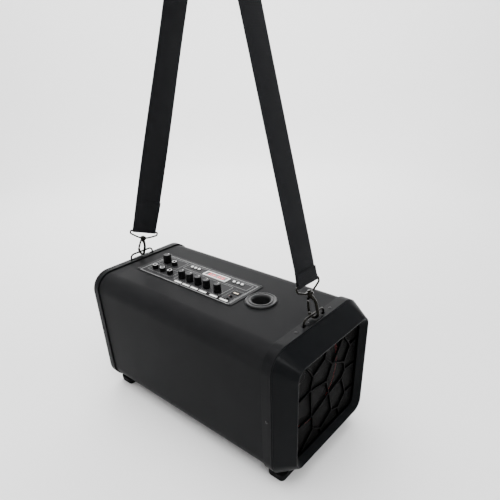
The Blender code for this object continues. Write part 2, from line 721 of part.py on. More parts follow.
def make_control_board():
    """Circuit board under the panel, carrying the potentiometer and jack bodies."""
    z0 = CAB_Z1 - BOARD_DROP
    top = z0 + PCB_T
    half_x, half_y = BOARD_HALF
    pcb = add_object("control_board", box((PANEL_X - half_x, -half_y, z0),
                                          (PANEL_X + half_x, half_y, top)), circuit_board())
    inside = z0 + PCB_T / 2
    bodies = bmesh.new()
    for centre in knob_places() + [VOLUME_XY]:
        merge(bodies, cylinder(POT_R, inside, CAB_Z1 - POT_TOP, centre, 12))
    half_x = JACK_BODY[0] / 2
    half_y = JACK_BODY[1] / 2
    for x, y in JACK_XY:
        merge(bodies, box((x - half_x, y - half_y, inside), (x + half_x, y + half_y, top + JACK_BODY[2])))
    boolean(pcb, guide("board_parts", bodies), "UNION")


def make_amplifier():
    """Power amplifier board standing behind the rear panel, with a finned heat sink."""
    x0 = X_CAB0 + AMP_STANDOFF
    low, high = [MID_Z + height for height in AMP_HEIGHTS]
    pcb = add_object("amplifier_board", box((x0, -AMP_HALF_W, low), (x0 + PCB_T, AMP_HALF_W, high)),
                     circuit_board())
    low, high = [MID_Z + height for height in SINK_HEIGHTS]
    base = box((x0 + PCB_T / 2, -SINK_HALF_W, low), (x0 + SINK_BASE_T, SINK_HALF_W, high))
    boolean(pcb, guide("heat_sink_base", base), "UNION")
    fins = bmesh.new()
    inset = 0.001
    reach = SINK_HALF_W - 0.003
    for i in range(FIN_COUNT):
        y = reach * (2 * i / (FIN_COUNT - 1) - 1)
        merge(fins, box((x0 + SINK_BASE_T - inset, y - FIN_T / 2, low + inset),
                        (x0 + FIN_REACH, y + FIN_T / 2, high - inset)))
    boolean(pcb, guide("heat_sink_fins", fins), "UNION")


def make_battery():
    """Battery on the cabinet's floor and the steel strap that holds it down."""
    z0 = CAB_Z0 + CAB_WALL + GAP
    z1 = z0 + BATTERY_H
    battery = add_object("battery_pack", box((BATTERY_X[0], -BATTERY_HALF_W, z0),
                                             (BATTERY_X[1], BATTERY_HALF_W, z1)),
                         material("battery_case", (0.02, 0.03, 0.05), 0.5))
    bevel(battery, 0.002, 1)

    strip = BATTERY_STRAP_T
    inner_y = BATTERY_HALF_W + 2 * GAP
    foot_y = inner_y + BATTERY_STRAP_FOOT
    top = z1 + 2 * GAP
    outline = [(-foot_y, z0), (-inner_y, z0), (-inner_y, top), (inner_y, top),
               (inner_y, z0), (foot_y, z0), (foot_y, z0 + strip),
               (inner_y + strip, z0 + strip), (inner_y + strip, top + strip),
               (-inner_y - strip, top + strip), (-inner_y - strip, z0 + strip),
               (-foot_y, z0 + strip)]
    loops = [[(x, y, z) for y, z in outline] for x in BATTERY_STRAP_X]
    add_object("battery_bracket", loft(bmesh.new(), loops), steel())


# ---------------------------------------------------------------- feet


def make_feet():
    """Rubber blocks with round corners, flat under the rounded lower edges of the frames."""
    half_x, half_y = FOOT_HALF
    levels = ((0.0, 0.0030), (0.0012, 0.0018), (0.0050, 0.0006), (FOOT_H - GAP, 0.0))
    for end, x in zip(("rear", "front"), FOOT_X):
        for hand, sign in (("right", -1), ("left", 1)):
            loops = []
            for z, inset in levels:
                outline = rounded_rect(half_x - inset, half_y - inset, FOOT_R - inset, 5)
                loops.append([(x + a, sign * FOOT_Y + b, z) for a, b in outline])
            add_object("foot_%s_%s" % (end, hand), loft(bmesh.new(), loops), black_rubber())


# ---------------------------------------------------------------- strap rings


def make_ring(end, x):
    """Closed wire loop: a pivot bar in the frame's slot and an arch above it."""
    low = FRAME_TOP - RING_DEPTH
    high = FRAME_TOP + RING_RISE
    top_r = RING_TOP_R
    low_r = RING_LOW_R
    half = RING_HALF_W
    outline = arc((half - top_r, high - top_r), top_r, 0, 90, 5)
    outline += arc((-half + top_r, high - top_r), top_r, 90, 180, 5)
    outline += arc((-half + low_r, low + low_r), low_r, 180, 270, 3)
    outline += arc((half - low_r, low + low_r), low_r, 270, 360, 3)
    points = [(x, a, b) for a, b in outline]
    bm = tube(bmesh.new(), points, RING_WIRE_R, 10, True, (1.0, 0.0, 0.0))
    add_object("strap_ring_" + end, bm, dark_chrome(), (x, 0.0, low))


def make_ring_clamp(end, x, half_x):
    z0 = FRAME_TOP - CLAMP_T + GAP
    bm = plate_z(half_x - GAP, CLAMP_HALF_W - GAP, CLAMP_R - GAP, z0, FRAME_TOP + 0.0002, (x, 0.0), 6)
    add_object("ring_clamp_" + end, bm, frame_plastic())


# ---------------------------------------------------------------- strap and its fittings

HOOK_BAR_R = 0.0028
HOOK_BEND_R = 0.0092
HOOK_SEAT = 0.0063           # bend's centre line below the ring wire's centre
COLLAR = (0.0300, 0.0360)    # heights along the leg, from the ring wire's centre
BOSS = (0.0364, 0.0404)
HEAD = (0.0408, 0.0432)
BAR_U = 0.0570               # buckle's strap bar
BUCKLE_WIRE_R = 0.0018
GATE_R = 0.0022
GATE_LOW = (-0.0092, 0.0053)
GATE_PIVOT = (-0.0070, 0.0222)
WEB_START = BAR_U + BUCKLE_WIRE_R + 0.0004


class Leg:
    """One taut leg of the strap, from a ring's wire up along the strap's line.

    u runs up the leg, v across it in the cabinet's XZ plane towards the grille, and w
    along the buckle's bar. inwards points from the leg to the strap's middle.
    """

    def __init__(self, index):
        self.end = ("rear", "front")[index]
        inwards = (1.0, -1.0)[index]
        lean = LEAN[index]
        self.seat = Vector((RING_X[index], 0.0, WIRE_Z))
        self.u = Vector((inwards * math.sin(lean), 0.0, math.cos(lean)))
        self.v = Vector((math.cos(lean), 0.0, -inwards * math.sin(lean)))
        self.inwards = self.v * inwards
        twist = STRAP_TWIST[index]
        across = Vector((0.0, 1.0, 0.0))
        turn = Matrix.Rotation(-twist, 3, self.u)
        self.w = turn @ across

    def at(self, v, u, w=0.0, side=None):
        sideways = self.w if side is None else side
        return self.seat + self.v * v + self.u * u + sideways * w


def make_hook(leg):
    """Snap hook body: bend, back bar, shoulder for the gate, collar, stud and head."""
    centre_u = HOOK_BEND_R - HOOK_SEAT
    path = arc((0.0, centre_u), HOOK_BEND_R, -178, 0, 12)
    path += [(HOOK_BEND_R, 0.0120), (HOOK_BEND_R, 0.0190), (0.0082, 0.0240), (0.0052, 0.0285),
             (0.0020, 0.0315)]
    points = [leg.at(v, u) for v, u in path]
    body = tube(bmesh.new(), points, HOOK_BAR_R, 10)
    hook = add_object("snap_hook_" + leg.end, body, dark_chrome(), leg.seat)

    shoulder = [(0.0, 0.0315), (-0.0045, 0.0290), (-0.0070, 0.0262)]
    shoulder = tube(bmesh.new(), [leg.at(v, u) for v, u in shoulder], 0.0025, 8)
    boolean(hook, guide("hook_shoulder_" + leg.end, shoulder), "UNION")
    stud = [(0.0, COLLAR[0]), (0.0040, COLLAR[0]), (0.0048, COLLAR[0] + 0.001),
            (0.0048, COLLAR[1]), (0.0023, COLLAR[1]), (0.0023, HEAD[0]), (0.0040, HEAD[0]),
            (0.0040, HEAD[1] - 0.001), (0.0028, HEAD[1]), (0.0, HEAD[1])]
    boolean(hook, guide("hook_stud_" + leg.end, spun(stud, 16, leg.seat, leg.u)), "UNION")


def make_gate(leg):
    """Sprung gate, turning about its upper end."""
    low = Vector(GATE_LOW)
    high = Vector(GATE_PIVOT)
    along = (high - low).normalized()
    steps = ((-0.92, 0.40), (-0.60, 0.80), (0.0, 1.0))
    radii = []
    centres = []
    for offset, share in steps:
        centres.append(low + along * GATE_R * offset)
        radii.append(GATE_R * share)
    for offset, share in reversed(steps):
        centres.append(high - along * GATE_R * offset)
        radii.append(GATE_R * share)
    bm = bmesh.new()
    side = Vector((0.0, 1.0, 0.0))
    across = leg.v * along.y - leg.u * along.x
    loops = []
    for centre, radius in zip(centres, radii):
        middle = leg.at(centre.x, centre.y)
        angles = [2 * math.pi * k / 8 for k in range(8)]
        loops.append([middle + radius * (math.cos(a) * side + math.sin(a) * across) for a in angles])
    loft(bm, loops)
    pivot = leg.at(high.x, high.y)
    add_object("hook_gate_" + leg.end, bm, dark_chrome(), pivot)


def make_buckle(leg):
    """Trapezoid wire loop for the webbing, closed by the boss that the hook turns in."""
    half = STRAP_W / 2 + 0.0040
    corner = 0.0022
    foot_u = (BOSS[0] + BOSS[1]) / 2
    right = [(0.0045, foot_u), (0.0120, foot_u + 0.0022), (0.0200, foot_u + 0.0058),
             (half - 0.0015, 0.0482), (half, 0.0498), (half, BAR_U - corner)]
    right += arc((half - corner, BAR_U - corner), corner, 30, 90, 2)
    left = [(-w, u) for w, u in reversed(right)]
    points = [leg.at(0.0, u, w) for w, u in right + left]
    wire = tube(bmesh.new(), points, BUCKLE_WIRE_R, 8, False, leg.w.cross(leg.u))
    buckle = add_object("swivel_buckle_" + leg.end, wire, dark_chrome())
    ring = [(0.0028, BOSS[0]), (0.0066, BOSS[0]), (0.0066, BOSS[1]), (0.0028, BOSS[1]),
            (0.0028, BOSS[0])]
    boolean(buckle, guide("buckle_boss_" + leg.end, spun(ring, 16, leg.seat, leg.u)), "UNION")


def strap_line(rear, front):
    """Points, tangents and twists from the rear buckle over the shoulder to the front one."""
    spread = front.seat.x - rear.seat.x
    rise = spread / (math.tan(LEAN[0]) + math.tan(LEAN[1]))
    apex = rear.seat + rear.u * (rise / math.cos(LEAN[0]))
    half_angle = (LEAN[0] + LEAN[1]) / 2
    to_tangent = STRAP_ARC_R / math.tan(half_angle)
    rear_length = (apex - rear.seat).length - to_tangent
    front_length = (apex - front.seat).length - to_tangent
    centre = apex - rear.u * to_tangent + rear.inwards * STRAP_ARC_R

    samples = []
    leg_steps = 14
    for i in range(leg_steps + 1):
        share = i / leg_steps
        distance = WEB_START + (rear_length - WEB_START) * share
        ease = 1 - share * share * (3 - 2 * share)
        samples.append((rear.seat + rear.u * distance, rear.u, STRAP_TWIST[0] * ease))
    arc_steps = 14
    sweep = math.pi - LEAN[0] - LEAN[1]
    for i in range(1, arc_steps):
        turn = sweep * i / arc_steps
        radial = math.cos(turn) * -rear.inwards + math.sin(turn) * rear.u
        tangent = math.sin(turn) * rear.inwards + math.cos(turn) * rear.u
        samples.append((centre + radial * STRAP_ARC_R, tangent, 0.0))
    for i in range(leg_steps + 1):
        share = 1 - i / leg_steps
        distance = WEB_START + (front_length - WEB_START) * share
        ease = 1 - share * share * (3 - 2 * share)
        samples.append((front.seat + front.u * distance, -front.u, -STRAP_TWIST[1] * ease))
    return samples


def make_strap(rear, front):
    loops = []
    for point, tangent, twist in strap_line(rear, front):
        across = Matrix.Rotation(-twist, 3, tangent) @ Vector((0.0, 1.0, 0.0))
        outwards = across.cross(tangent).normalized()
        corners = ((-1, -1), (1, -1), (1, 1), (-1, 1))
        loops.append([point + across * (a * STRAP_W / 2) + outwards * (b * STRAP_T / 2)
                      for a, b in corners])
    add_object("strap_webbing", loft(bmesh.new(), loops),
               material("black_webbing", (0.02, 0.02, 0.022), 0.85), smooth_angle=50.0)


# ---------------------------------------------------------------- assembly


def main():
    for obj in list(bpy.data.objects):
        bpy.data.objects.remove(obj)
    make_cabinet()
    make_baffles()
    make_end_frames()
    grille_half = make_bezel()
    make_grille(*grille_half)
    make_woofer()
    make_bass_port()
    make_panel()
    make_controls()
    make_display()
    make_control_board()
    make_amplifier()
    make_battery()
    make_feet()
    for end, x, half_x in zip(("rear", "front"), RING_X, CLAMP_HALF):
        make_ring(end, x)
        make_ring_clamp(end, x, half_x)
    legs = [Leg(0), Leg(1)]
    for leg in legs:
        make_hook(leg)
        make_gate(leg)
        make_buckle(leg)
    make_strap(*legs)


main()
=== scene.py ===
"""Looks of the party speaker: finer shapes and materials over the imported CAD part.

Frame: metres, +Z up, +X towards the grille, feet standing on z = 0. Each finer piece
stands for the CAD node of the same place and rides on that node's body.
"""

import math

import bmesh
import bpy
from mathutils import Matrix, Vector


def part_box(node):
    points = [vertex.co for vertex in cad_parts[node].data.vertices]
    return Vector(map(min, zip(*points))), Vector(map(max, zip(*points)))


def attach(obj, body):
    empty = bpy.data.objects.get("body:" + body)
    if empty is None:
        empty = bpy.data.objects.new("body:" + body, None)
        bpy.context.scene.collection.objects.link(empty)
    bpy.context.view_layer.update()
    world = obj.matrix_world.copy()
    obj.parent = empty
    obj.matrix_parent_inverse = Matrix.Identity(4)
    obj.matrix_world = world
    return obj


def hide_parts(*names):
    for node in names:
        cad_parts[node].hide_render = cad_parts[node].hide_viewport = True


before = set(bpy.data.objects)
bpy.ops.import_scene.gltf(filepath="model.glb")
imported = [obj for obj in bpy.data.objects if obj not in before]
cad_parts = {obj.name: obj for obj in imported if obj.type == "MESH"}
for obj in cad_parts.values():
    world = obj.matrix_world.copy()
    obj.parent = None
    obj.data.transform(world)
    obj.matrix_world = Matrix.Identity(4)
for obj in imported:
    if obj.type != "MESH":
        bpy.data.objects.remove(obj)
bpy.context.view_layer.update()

# ---------------------------------------------------------------- dimensions
# Boxes come from the CAD part. Radii and thicknesses repeat its own, or are the finer pieces' own.

GAP = 0.0003
CAB_LOW, CAB_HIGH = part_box("cabinet_shell")
REAR_LOW, REAR_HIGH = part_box("rear_frame")
BAND_LOW, BAND_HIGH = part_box("front_frame")
BEZEL_LOW, BEZEL_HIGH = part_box("front_bezel")
PANEL_LOW, PANEL_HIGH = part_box("control_panel")
GRILLE_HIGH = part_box("grille_mesh")[1]

CAB_R = 0.038
CAB_WALL = 0.012
FRAME_R = 0.041
FRAME_WALL = 0.015
MID_Z = (CAB_LOW.z + CAB_HIGH.z) / 2
FRAME_HALF_W = REAR_HIGH.y
FRAME_HALF_H = (REAR_HIGH.z - REAR_LOW.z) / 2
FRAME_TOP = REAR_HIGH.z

RIM_HALF_W = 0.1130
RIM_HALF_H = 0.1105
RIM_Z = MID_Z + 0.0027
RIM_R = 0.022
RIM_LIP = 0.0028
RECESS_INSET = 0.0085
X_RIM = BEZEL_HIGH.x
X_GRILLE = X_RIM - 0.0150

RING_X = ((REAR_LOW.x + REAR_HIGH.x) / 2, X_RIM - 0.0490)
RING_WIRE_R = 0.0020
RING_HALF_W = 0.0300
WIRE_Z = FRAME_TOP + 0.0120
LEAN = (math.radians(23.2), math.radians(15.2))
TWIST = (math.radians(35.0), math.radians(4.0))
CLAMP_HALF_X = (0.0062, 0.0072)   # half of each ring clamp's pocket, rear and front


def middle_of(node):
    """Where a CAD node's box has its middle, seen from above."""
    low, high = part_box(node)
    return (low.x + high.x) / 2, (low.y + high.y) / 2


KNOB_XY = [middle_of("tone_knob_%d" % i) for i in range(1, 6)]
VOLUME_XY = middle_of("volume_knob")
JACK_XY = [middle_of("input_jack_%d" % i) for i in range(1, 5)]
BUTTON_XY = [middle_of("push_button_%d" % i) for i in range(1, 7)]
DISPLAY_XY = middle_of("display_frame")
DISPLAY_HALF = (0.0326, 0.0093)
DISPLAY_OPENING = (0.0300, 0.0067)
USB_OPENING = (0.00755, 0.00405)
USB_XY = middle_of("usb_port")
AUX_XY = middle_of("aux_jack")
CHARGE_XY = middle_of("charge_socket")
PORT_X = middle_of("bass_port")[0]
PANEL_TOP = PANEL_HIGH.z
INK = 0.00006                # how far printed lines stand above the panel

BAR_U = 0.0570               # buckle's strap bar, above the ring's wire
BUCKLE_WIRE_R = 0.0018
WEB_HALF_W = 0.0250
WEB_HALF_T = 0.0007
SHOULDER_R = 0.0750
PLY_END = (0.1360, 0.0790)   # where each folded-back end stops, above the ring's wire
STITCH_ROWS = ((0.1325, 0.1285, 0.0640), (0.0760, 0.0725))

CAMERA_YAW, CAMERA_PITCH, CAMERA_ROLL = (math.radians(a) for a in (41.684, -29.502, -2.245))
CAMERA_PLACE = (0.5826, -0.5728, 0.6980)
CAMERA_LENS = 32.79
CAMERA_SHIFT = 0.1163

# ---------------------------------------------------------------- materials


def put(node, **values):
    """Set a node's inputs. An underscore in a name stands for a space."""
    for name, value in values.items():
        node.inputs[name.replace("_", " ")].default_value = value


def surface(name, colour, roughness, metallic=0.0, spread=0.12, patch=35.0, grain=0.0,
            grain_scale=900.0, cells=False, glow=0.0, specular=0.5):
    """A finish with uneven tone and gloss, and a fine grain where the piece has one."""
    mat = bpy.data.materials.new(name)
    mat.use_nodes = True
    nodes = mat.node_tree.nodes
    links = mat.node_tree.links
    shader = nodes["Principled BSDF"]
    shader.inputs["Metallic"].default_value = metallic
    shader.inputs["Specular IOR Level"].default_value = specular
    place = nodes.new("ShaderNodeTexCoord")
    cloud = nodes.new("ShaderNodeTexNoise")
    put(cloud, Scale=patch, Detail=6.0)
    links.new(place.outputs["Object"], cloud.inputs["Vector"])
    tint = nodes.new("ShaderNodeValToRGB")
    tint.color_ramp.elements[0].position = 0.3
    tint.color_ramp.elements[1].position = 0.7
    for element, share in zip(tint.color_ramp.elements, (1 - spread, 1 + spread)):
        element.color = (*(min(1.0, c * share) for c in colour), 1.0)
    links.new(cloud.outputs["Fac"], tint.inputs["Fac"])
    links.new(tint.outputs["Color"], shader.inputs["Base Color"])
    gloss = nodes.new("ShaderNodeMapRange")
    put(gloss, From_Min=0.3, From_Max=0.7, To_Min=roughness * (1 - spread * 0.6),
        To_Max=min(1.0, roughness * (1 + spread * 0.6)))
    links.new(cloud.outputs["Fac"], gloss.inputs["Value"])
    links.new(gloss.outputs["Result"], shader.inputs["Roughness"])
    if glow:
        put(shader, Emission_Color=(*colour, 1.0), Emission_Strength=glow)
    if grain:
        texture = nodes.new("ShaderNodeTexVoronoi" if cells else "ShaderNodeTexNoise")
        put(texture, Scale=grain_scale)
        links.new(place.outputs["Object"], texture.inputs["Vector"])
        bump = nodes.new("ShaderNodeBump")
        put(bump, Strength=grain, Distance=0.0002)
        links.new(texture.outputs["Distance" if cells else "Fac"], bump.inputs["Height"])
        links.new(bump.outputs["Normal"], shader.inputs["Normal"])
    return mat


def woven(name, colour):
    """Webbing: ribs across it and a finer twill, from the cloth's own length and width."""
    mat = surface(name, colour, 0.80, spread=0.10, patch=60.0, specular=0.06)
    nodes = mat.node_tree.nodes
    links = mat.node_tree.links
    along = nodes.new("ShaderNodeUVMap")
    along.uv_map = "cloth"
    total = None
    for direction, scale, share in (("X", 85.0, 0.6), ("DIAGONAL", 150.0, 0.4)):
        wave = nodes.new("ShaderNodeTexWave")
        wave.bands_direction = direction
        put(wave, Scale=scale)
        links.new(along.outputs["UV"], wave.inputs["Vector"])
        weigh = nodes.new("ShaderNodeMath")
        weigh.operation = "MULTIPLY_ADD"
        weigh.inputs[1].default_value = share
        weigh.inputs[2].default_value = 0.0
        links.new(wave.outputs["Fac"], weigh.inputs[0])
        if total is not None:
            links.new(total, weigh.inputs[2])
        total = weigh.outputs["Value"]
    bump = nodes.new("ShaderNodeBump")
    put(bump, Strength=0.5, Distance=0.0003)
    links.new(total, bump.inputs["Height"])
    links.new(bump.outputs["Normal"], nodes["Principled BSDF"].inputs["Normal"])
    return mat


# The blacks are darker and duller than measured ones. A plausible gloss reads as grey beside a pale floor.
LEATHERETTE = surface("leatherette", (0.0094, 0.0096, 0.0101), 0.44, spread=0.08, patch=14.0,
                      grain=0.22, grain_scale=850.0, cells=True, specular=0.018)
FRAME = surface("satin_frame", (0.0058, 0.0060, 0.0065), 0.38, spread=0.06, grain=0.12, grain_scale=1400.0,
                specular=0.035)
# The bezel is the frames' black plastic with its colour painted darker: painted shade on its sloped and side
# faces.
SHADED_BEZEL = surface("bezel_black_shaded", (0.0034, 0.0038, 0.0043), 0.30, spread=0.04, grain=0.03, grain_scale=1400.0,
                specular=0.04)
PANEL = surface("panel_black", (0.0200, 0.0202, 0.0210), 0.42, spread=0.15, grain=0.05, specular=0.03)
BLACK = surface("black_plastic", (0.0030, 0.0030, 0.0032), 0.32, grain=0.05, specular=0.04)
PORT_BLACK = surface("port_plastic", (0.0115, 0.0117, 0.0121), 0.34, grain=0.05, specular=0.16)
KNOB_TOP = surface("knob_top", (0.036, 0.0362, 0.0372), 0.50, spread=0.15, patch=220.0, grain=0.1,
                   specular=0.1)
WHITE = surface("white_plastic", (0.74, 0.74, 0.73), 0.35, spread=0.04)
PRINT_WHITE = surface("print_white", (0.86, 0.86, 0.84), 0.55, spread=0.05)
PRINT_GREY = surface("print_grey", (0.20, 0.20, 0.20), 0.55, spread=0.25, patch=120.0, specular=0.1)
WINDOW = surface("display_window", (0.035, 0.026, 0.028), 0.12, spread=0.05)
DIGITS = surface("display_digits", (0.90, 0.010, 0.030), 0.4, spread=0.05, glow=1.0)
LAMP = surface("charge_lamp", (0.09, 0.015, 0.012), 0.3, spread=0.05, glow=0.03)
RUBBER = surface("black_rubber", (0.0050, 0.0050, 0.0051), 0.70, grain=0.25, grain_scale=1200.0,
                 specular=0.04)
GUNMETAL = surface("dark_chrome", (0.012, 0.0114, 0.0098), 0.30, 1.0, spread=0.30, patch=160.0)
BRIGHT = surface("bright_metal", (0.30, 0.30, 0.30), 0.24, 1.0, patch=160.0)
SCREW = surface("black_screw", (0.012, 0.012, 0.012), 0.35, 0.5, spread=0.2, patch=200.0)
WEB = woven("webbing", (0.0088, 0.0091, 0.0100))
THREAD = surface("thread", (0.008, 0.008, 0.009), 0.7, specular=0.1)
MESH_METAL = surface("grille_metal", (0.0026, 0.0026, 0.0026), 0.42, grain=0.1, specular=0.02)
LATTICE = surface("lattice_plastic", (0.0005, 0.0005, 0.0005), 0.22, spread=0.15, specular=0.005)
BOARD = surface("painted_board", (0.0040, 0.0040, 0.0041), 0.75, spread=0.2, patch=60.0, grain=0.3,
                grain_scale=500.0, specular=0.05)
PAPER = surface("paper_cone", (0.010, 0.010, 0.011), 0.85, spread=0.2, grain=0.4, grain_scale=1500.0)
BASKET = surface("basket_steel", (0.02, 0.02, 0.02), 0.5, 0.3, grain=0.1)
MAGNET = surface("magnet_steel", (0.30, 0.30, 0.31), 0.4, 1.0, spread=0.15)
COPPER = surface("copper_coil", (0.55, 0.25, 0.12), 0.35, 1.0)
SPIDER = surface("spider_cloth", (0.45, 0.33, 0.15), 0.9, grain=0.5, grain_scale=1800.0)
LED = surface("light_guide", (0.35, 0.008, 0.010), 0.35, spread=0.5, patch=22.0, glow=0.10)
CIRCUIT = surface("circuit_board", (0.02, 0.11, 0.05), 0.45, spread=0.25, patch=90.0)
BATTERY = surface("battery_case", (0.02, 0.03, 0.05), 0.5)
BEIGE = surface("usb_tongue", (0.72, 0.62, 0.48), 0.5, spread=0.05)

# ---------------------------------------------------------------- shape helpers


def rounded_rect(half_a, half_b, radius, steps=20):
    """Points of a rectangle with round corners, anticlockwise."""
    corners = ((1, 1, 0), (-1, 1, 90), (-1, -1, 180), (1, -1, 270))
    points = []
    for sign_a, sign_b, start in corners:
        for i in range(steps + 1):
            angle = math.radians(start + 90.0 * i / steps)
            a = sign_a * (half_a - radius) + radius * math.cos(angle)
            b = sign_b * (half_b - radius) + radius * math.sin(angle)
            points.append((a, b))
    return points


def loop_at_x(x, half_y, half_z, radius, mid_z=MID_Z, steps=20):
    return [(x, a, mid_z + b) for a, b in rounded_rect(half_y, half_z, radius, steps)]


def loop_at_z(z, half_x, half_y, radius, centre, steps=8):
    return [(centre[0] + a, centre[1] + b, z) for a, b in rounded_rect(half_x, half_y, radius, steps)]


def skin(bm, rings, capped=True):
    """Faces from each ring of vertices to the next, and over both ends if capped."""
    for first, second in zip(rings, rings[1:]):
        for i in range(len(first)):
            j = (i + 1) % len(first)
            bm.faces.new((first[i], first[j], second[j], second[i]))
    if capped:
        bm.faces.new(reversed(rings[0]))
        bm.faces.new(rings[-1])


def loft(loops, closed=False, bm=None):
    """Skin a list of equal-length loops of points, capped at both ends unless closed."""
    bm = bm or bmesh.new()
    rings = [[bm.verts.new(p) for p in loop] for loop in loops]
    skin(bm, rings + rings[:1] if closed else rings, not closed)
    return bm


def rounded_box(centre, half, radius, z0, z1, edge=0.0004, bm=None, steps=6):
    """A level plate or cap with round corners and softened upper edges."""
    levels = [(z0, 0.0), (z1 - edge, 0.0), (z1 - edge * 0.3, edge * 0.3), (z1, edge)]
    loops = [loop_at_z(z, half[0] - i, half[1] - i, max(radius - i, 0.00005), centre, steps)
             for z, i in levels]
    return loft(loops, bm=bm)


def turned(profile, steps, centre=(0.0, 0.0, 0.0), axis=(0.0, 0.0, 1.0), bm=None, flutes=0, depth=0.0,
           closed=False):
    """Turn a profile of (radius, height) points about an axis; flutes ripple its sides."""
    turn = Vector((0, 0, 1)).rotation_difference(Vector(axis)).to_matrix()
    loops = []
    for radius, height in profile:
        loop = []
        for i in range(steps):
            angle = 2 * math.pi * i / steps
            ripple = depth * (0.5 + 0.5 * math.cos(flutes * angle)) if flutes else 0.0
            r = max(radius - ripple, 0.00002)
            point = Vector((r * math.cos(angle), r * math.sin(angle), height))
            loop.append(Vector(centre) + turn @ point)
        loops.append(loop)
    return loft(loops, closed, bm)


def ring_of(profile, steps, centre, axis=(0.0, 0.0, 1.0), bm=None):
    """Turn a closed (radius, height) outline into a ring."""
    return turned(profile, steps, centre, axis, bm, closed=True)


def tube(points, radii, sides=16, closed=False, side=(0.0, 1.0, 0.0), bm=None):
    """A round bar along a path, with one radius or one for each point."""
    points = [Vector(p) for p in points]
    count = len(points)
    if not isinstance(radii, (list, tuple)):
        radii = [radii] * count
    side = Vector(side).normalized()
    rings = []
    for i, point in enumerate(points):
        before = points[i - 1] if (i or closed) else point
        after = points[(i + 1) % count] if (i < count - 1 or closed) else point
        tangent = (after - before).normalized()
        across = (side - tangent * side.dot(tangent)).normalized()
        other = tangent.cross(across)
        ring = []
        for k in range(sides):
            angle = 2 * math.pi * (k + 0.5) / sides
            ring.append(point + radii[i] * (math.cos(angle) * across + math.sin(angle) * other))
        rings.append(ring)
    return loft(rings, closed, bm)


def arc(centre, radius, start, end, steps):
    """Points (a, b) of an arc, in degrees, in the plane the caller uses."""
    points = []
    for i in range(steps + 1):
        angle = math.radians(start + (end - start) * i / steps)
        points.append((centre[0] + radius * math.cos(angle), centre[1] + radius * math.sin(angle)))
    return points


def block(bm, place, size):
    """A plain block of these three sizes, set down by a matrix."""
    bmesh.ops.create_cube(bm, size=1.0, matrix=place @ Matrix.Diagonal((*size, 1.0)))


def box(low, high, bm=None):
    """A plain block between two corners."""
    bm = bm or bmesh.new()
    block(bm, Matrix.Translation((Vector(high) + Vector(low)) / 2), Vector(high) - Vector(low))
    return bm


def add(name, data):
    """A new object in the scene."""
    obj = bpy.data.objects.new(name, data)
    bpy.context.scene.collection.objects.link(obj)
    return obj


def mesh_of(bm):
    """The mesh of a finished shape, with its faces turned outwards."""
    bmesh.ops.remove_doubles(bm, verts=bm.verts, dist=1e-6)
    bmesh.ops.recalc_face_normals(bm, faces=bm.faces)
    mesh = bpy.data.meshes.new("shape")
    bm.to_mesh(mesh)
    bm.free()
    return mesh


def piece(name, bm, mat, replaces=(), body="root", angle=32.0, weighted=False):
    """A finer piece on a CAD body, standing for the CAD nodes it is named to replace."""
    mesh = mesh_of(bm) if isinstance(bm, bmesh.types.BMesh) else bm
    mesh.name = name
    mesh.materials.clear()
    mesh.materials.append(mat)
    mesh.shade_smooth()
    mesh.set_sharp_from_angle(angle=math.radians(angle))
    obj = add(name, mesh)
    if weighted:
        obj.modifiers.new("flat faces", "WEIGHTED_NORMAL").keep_sharp = True
    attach(obj, body)
    if replaces:
        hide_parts(*replaces)
    return obj


def carve(bm, *tools):
    """The mesh of a shape with others cut from it. No tool's own parts may overlap."""
    work = add("work", mesh_of(bm))
    helpers = []
    for tool in tools:
        helper = add("tool", mesh_of(tool))
        cut = work.modifiers.new("cut", "BOOLEAN")
        cut.operation = "DIFFERENCE"
        cut.solver = "EXACT"
        cut.object = helper
        helpers.append(helper)
    graph = bpy.context.evaluated_depsgraph_get()
    mesh = bpy.data.meshes.new_from_object(work.evaluated_get(graph))
    for obj in [work, *helpers]:
        bpy.data.objects.remove(obj)
    return mesh


def screws(name, places, radius):
    """Pan-head screws with cross recesses, at (point, outward direction) places."""
    heads = bmesh.new()
    slots = (bmesh.new(), bmesh.new())
    for point, outwards in places:
        profile = [(0.0, -0.0006), (radius, -0.0006), (radius, radius * 0.10), (radius * 0.88, radius * 0.28),
                   (radius * 0.6, radius * 0.40), (0.0, radius * 0.44)]
        turned(profile, 24, point, outwards, heads)
        turn = Vector((0, 0, 1)).rotation_difference(Vector(outwards)).to_matrix().to_4x4()
        place = Matrix.Translation(Vector(point) + Vector(outwards) * radius * 0.45) @ turn
        for cutter, (long, short) in zip(slots, ((0.62, 0.15), (0.15, 0.62))):
            block(cutter, place, (radius * 2 * long, radius * 2 * short, radius * 0.7))
    piece(name, carve(heads, *slots), SCREW, angle=25.0)


# ---------------------------------------------------------------- cabinet and end frames


def shell_of(profile, half=(FRAME_HALF_W, FRAME_HALF_H), radius=FRAME_R, mid_z=MID_Z, steps=24):
    """A closed surround, from (x, inset) points of its wall's outline."""
    return loft([loop_at_x(x, half[0] - i, half[1] - i, radius - i, mid_z, steps) for x, i in profile], True)


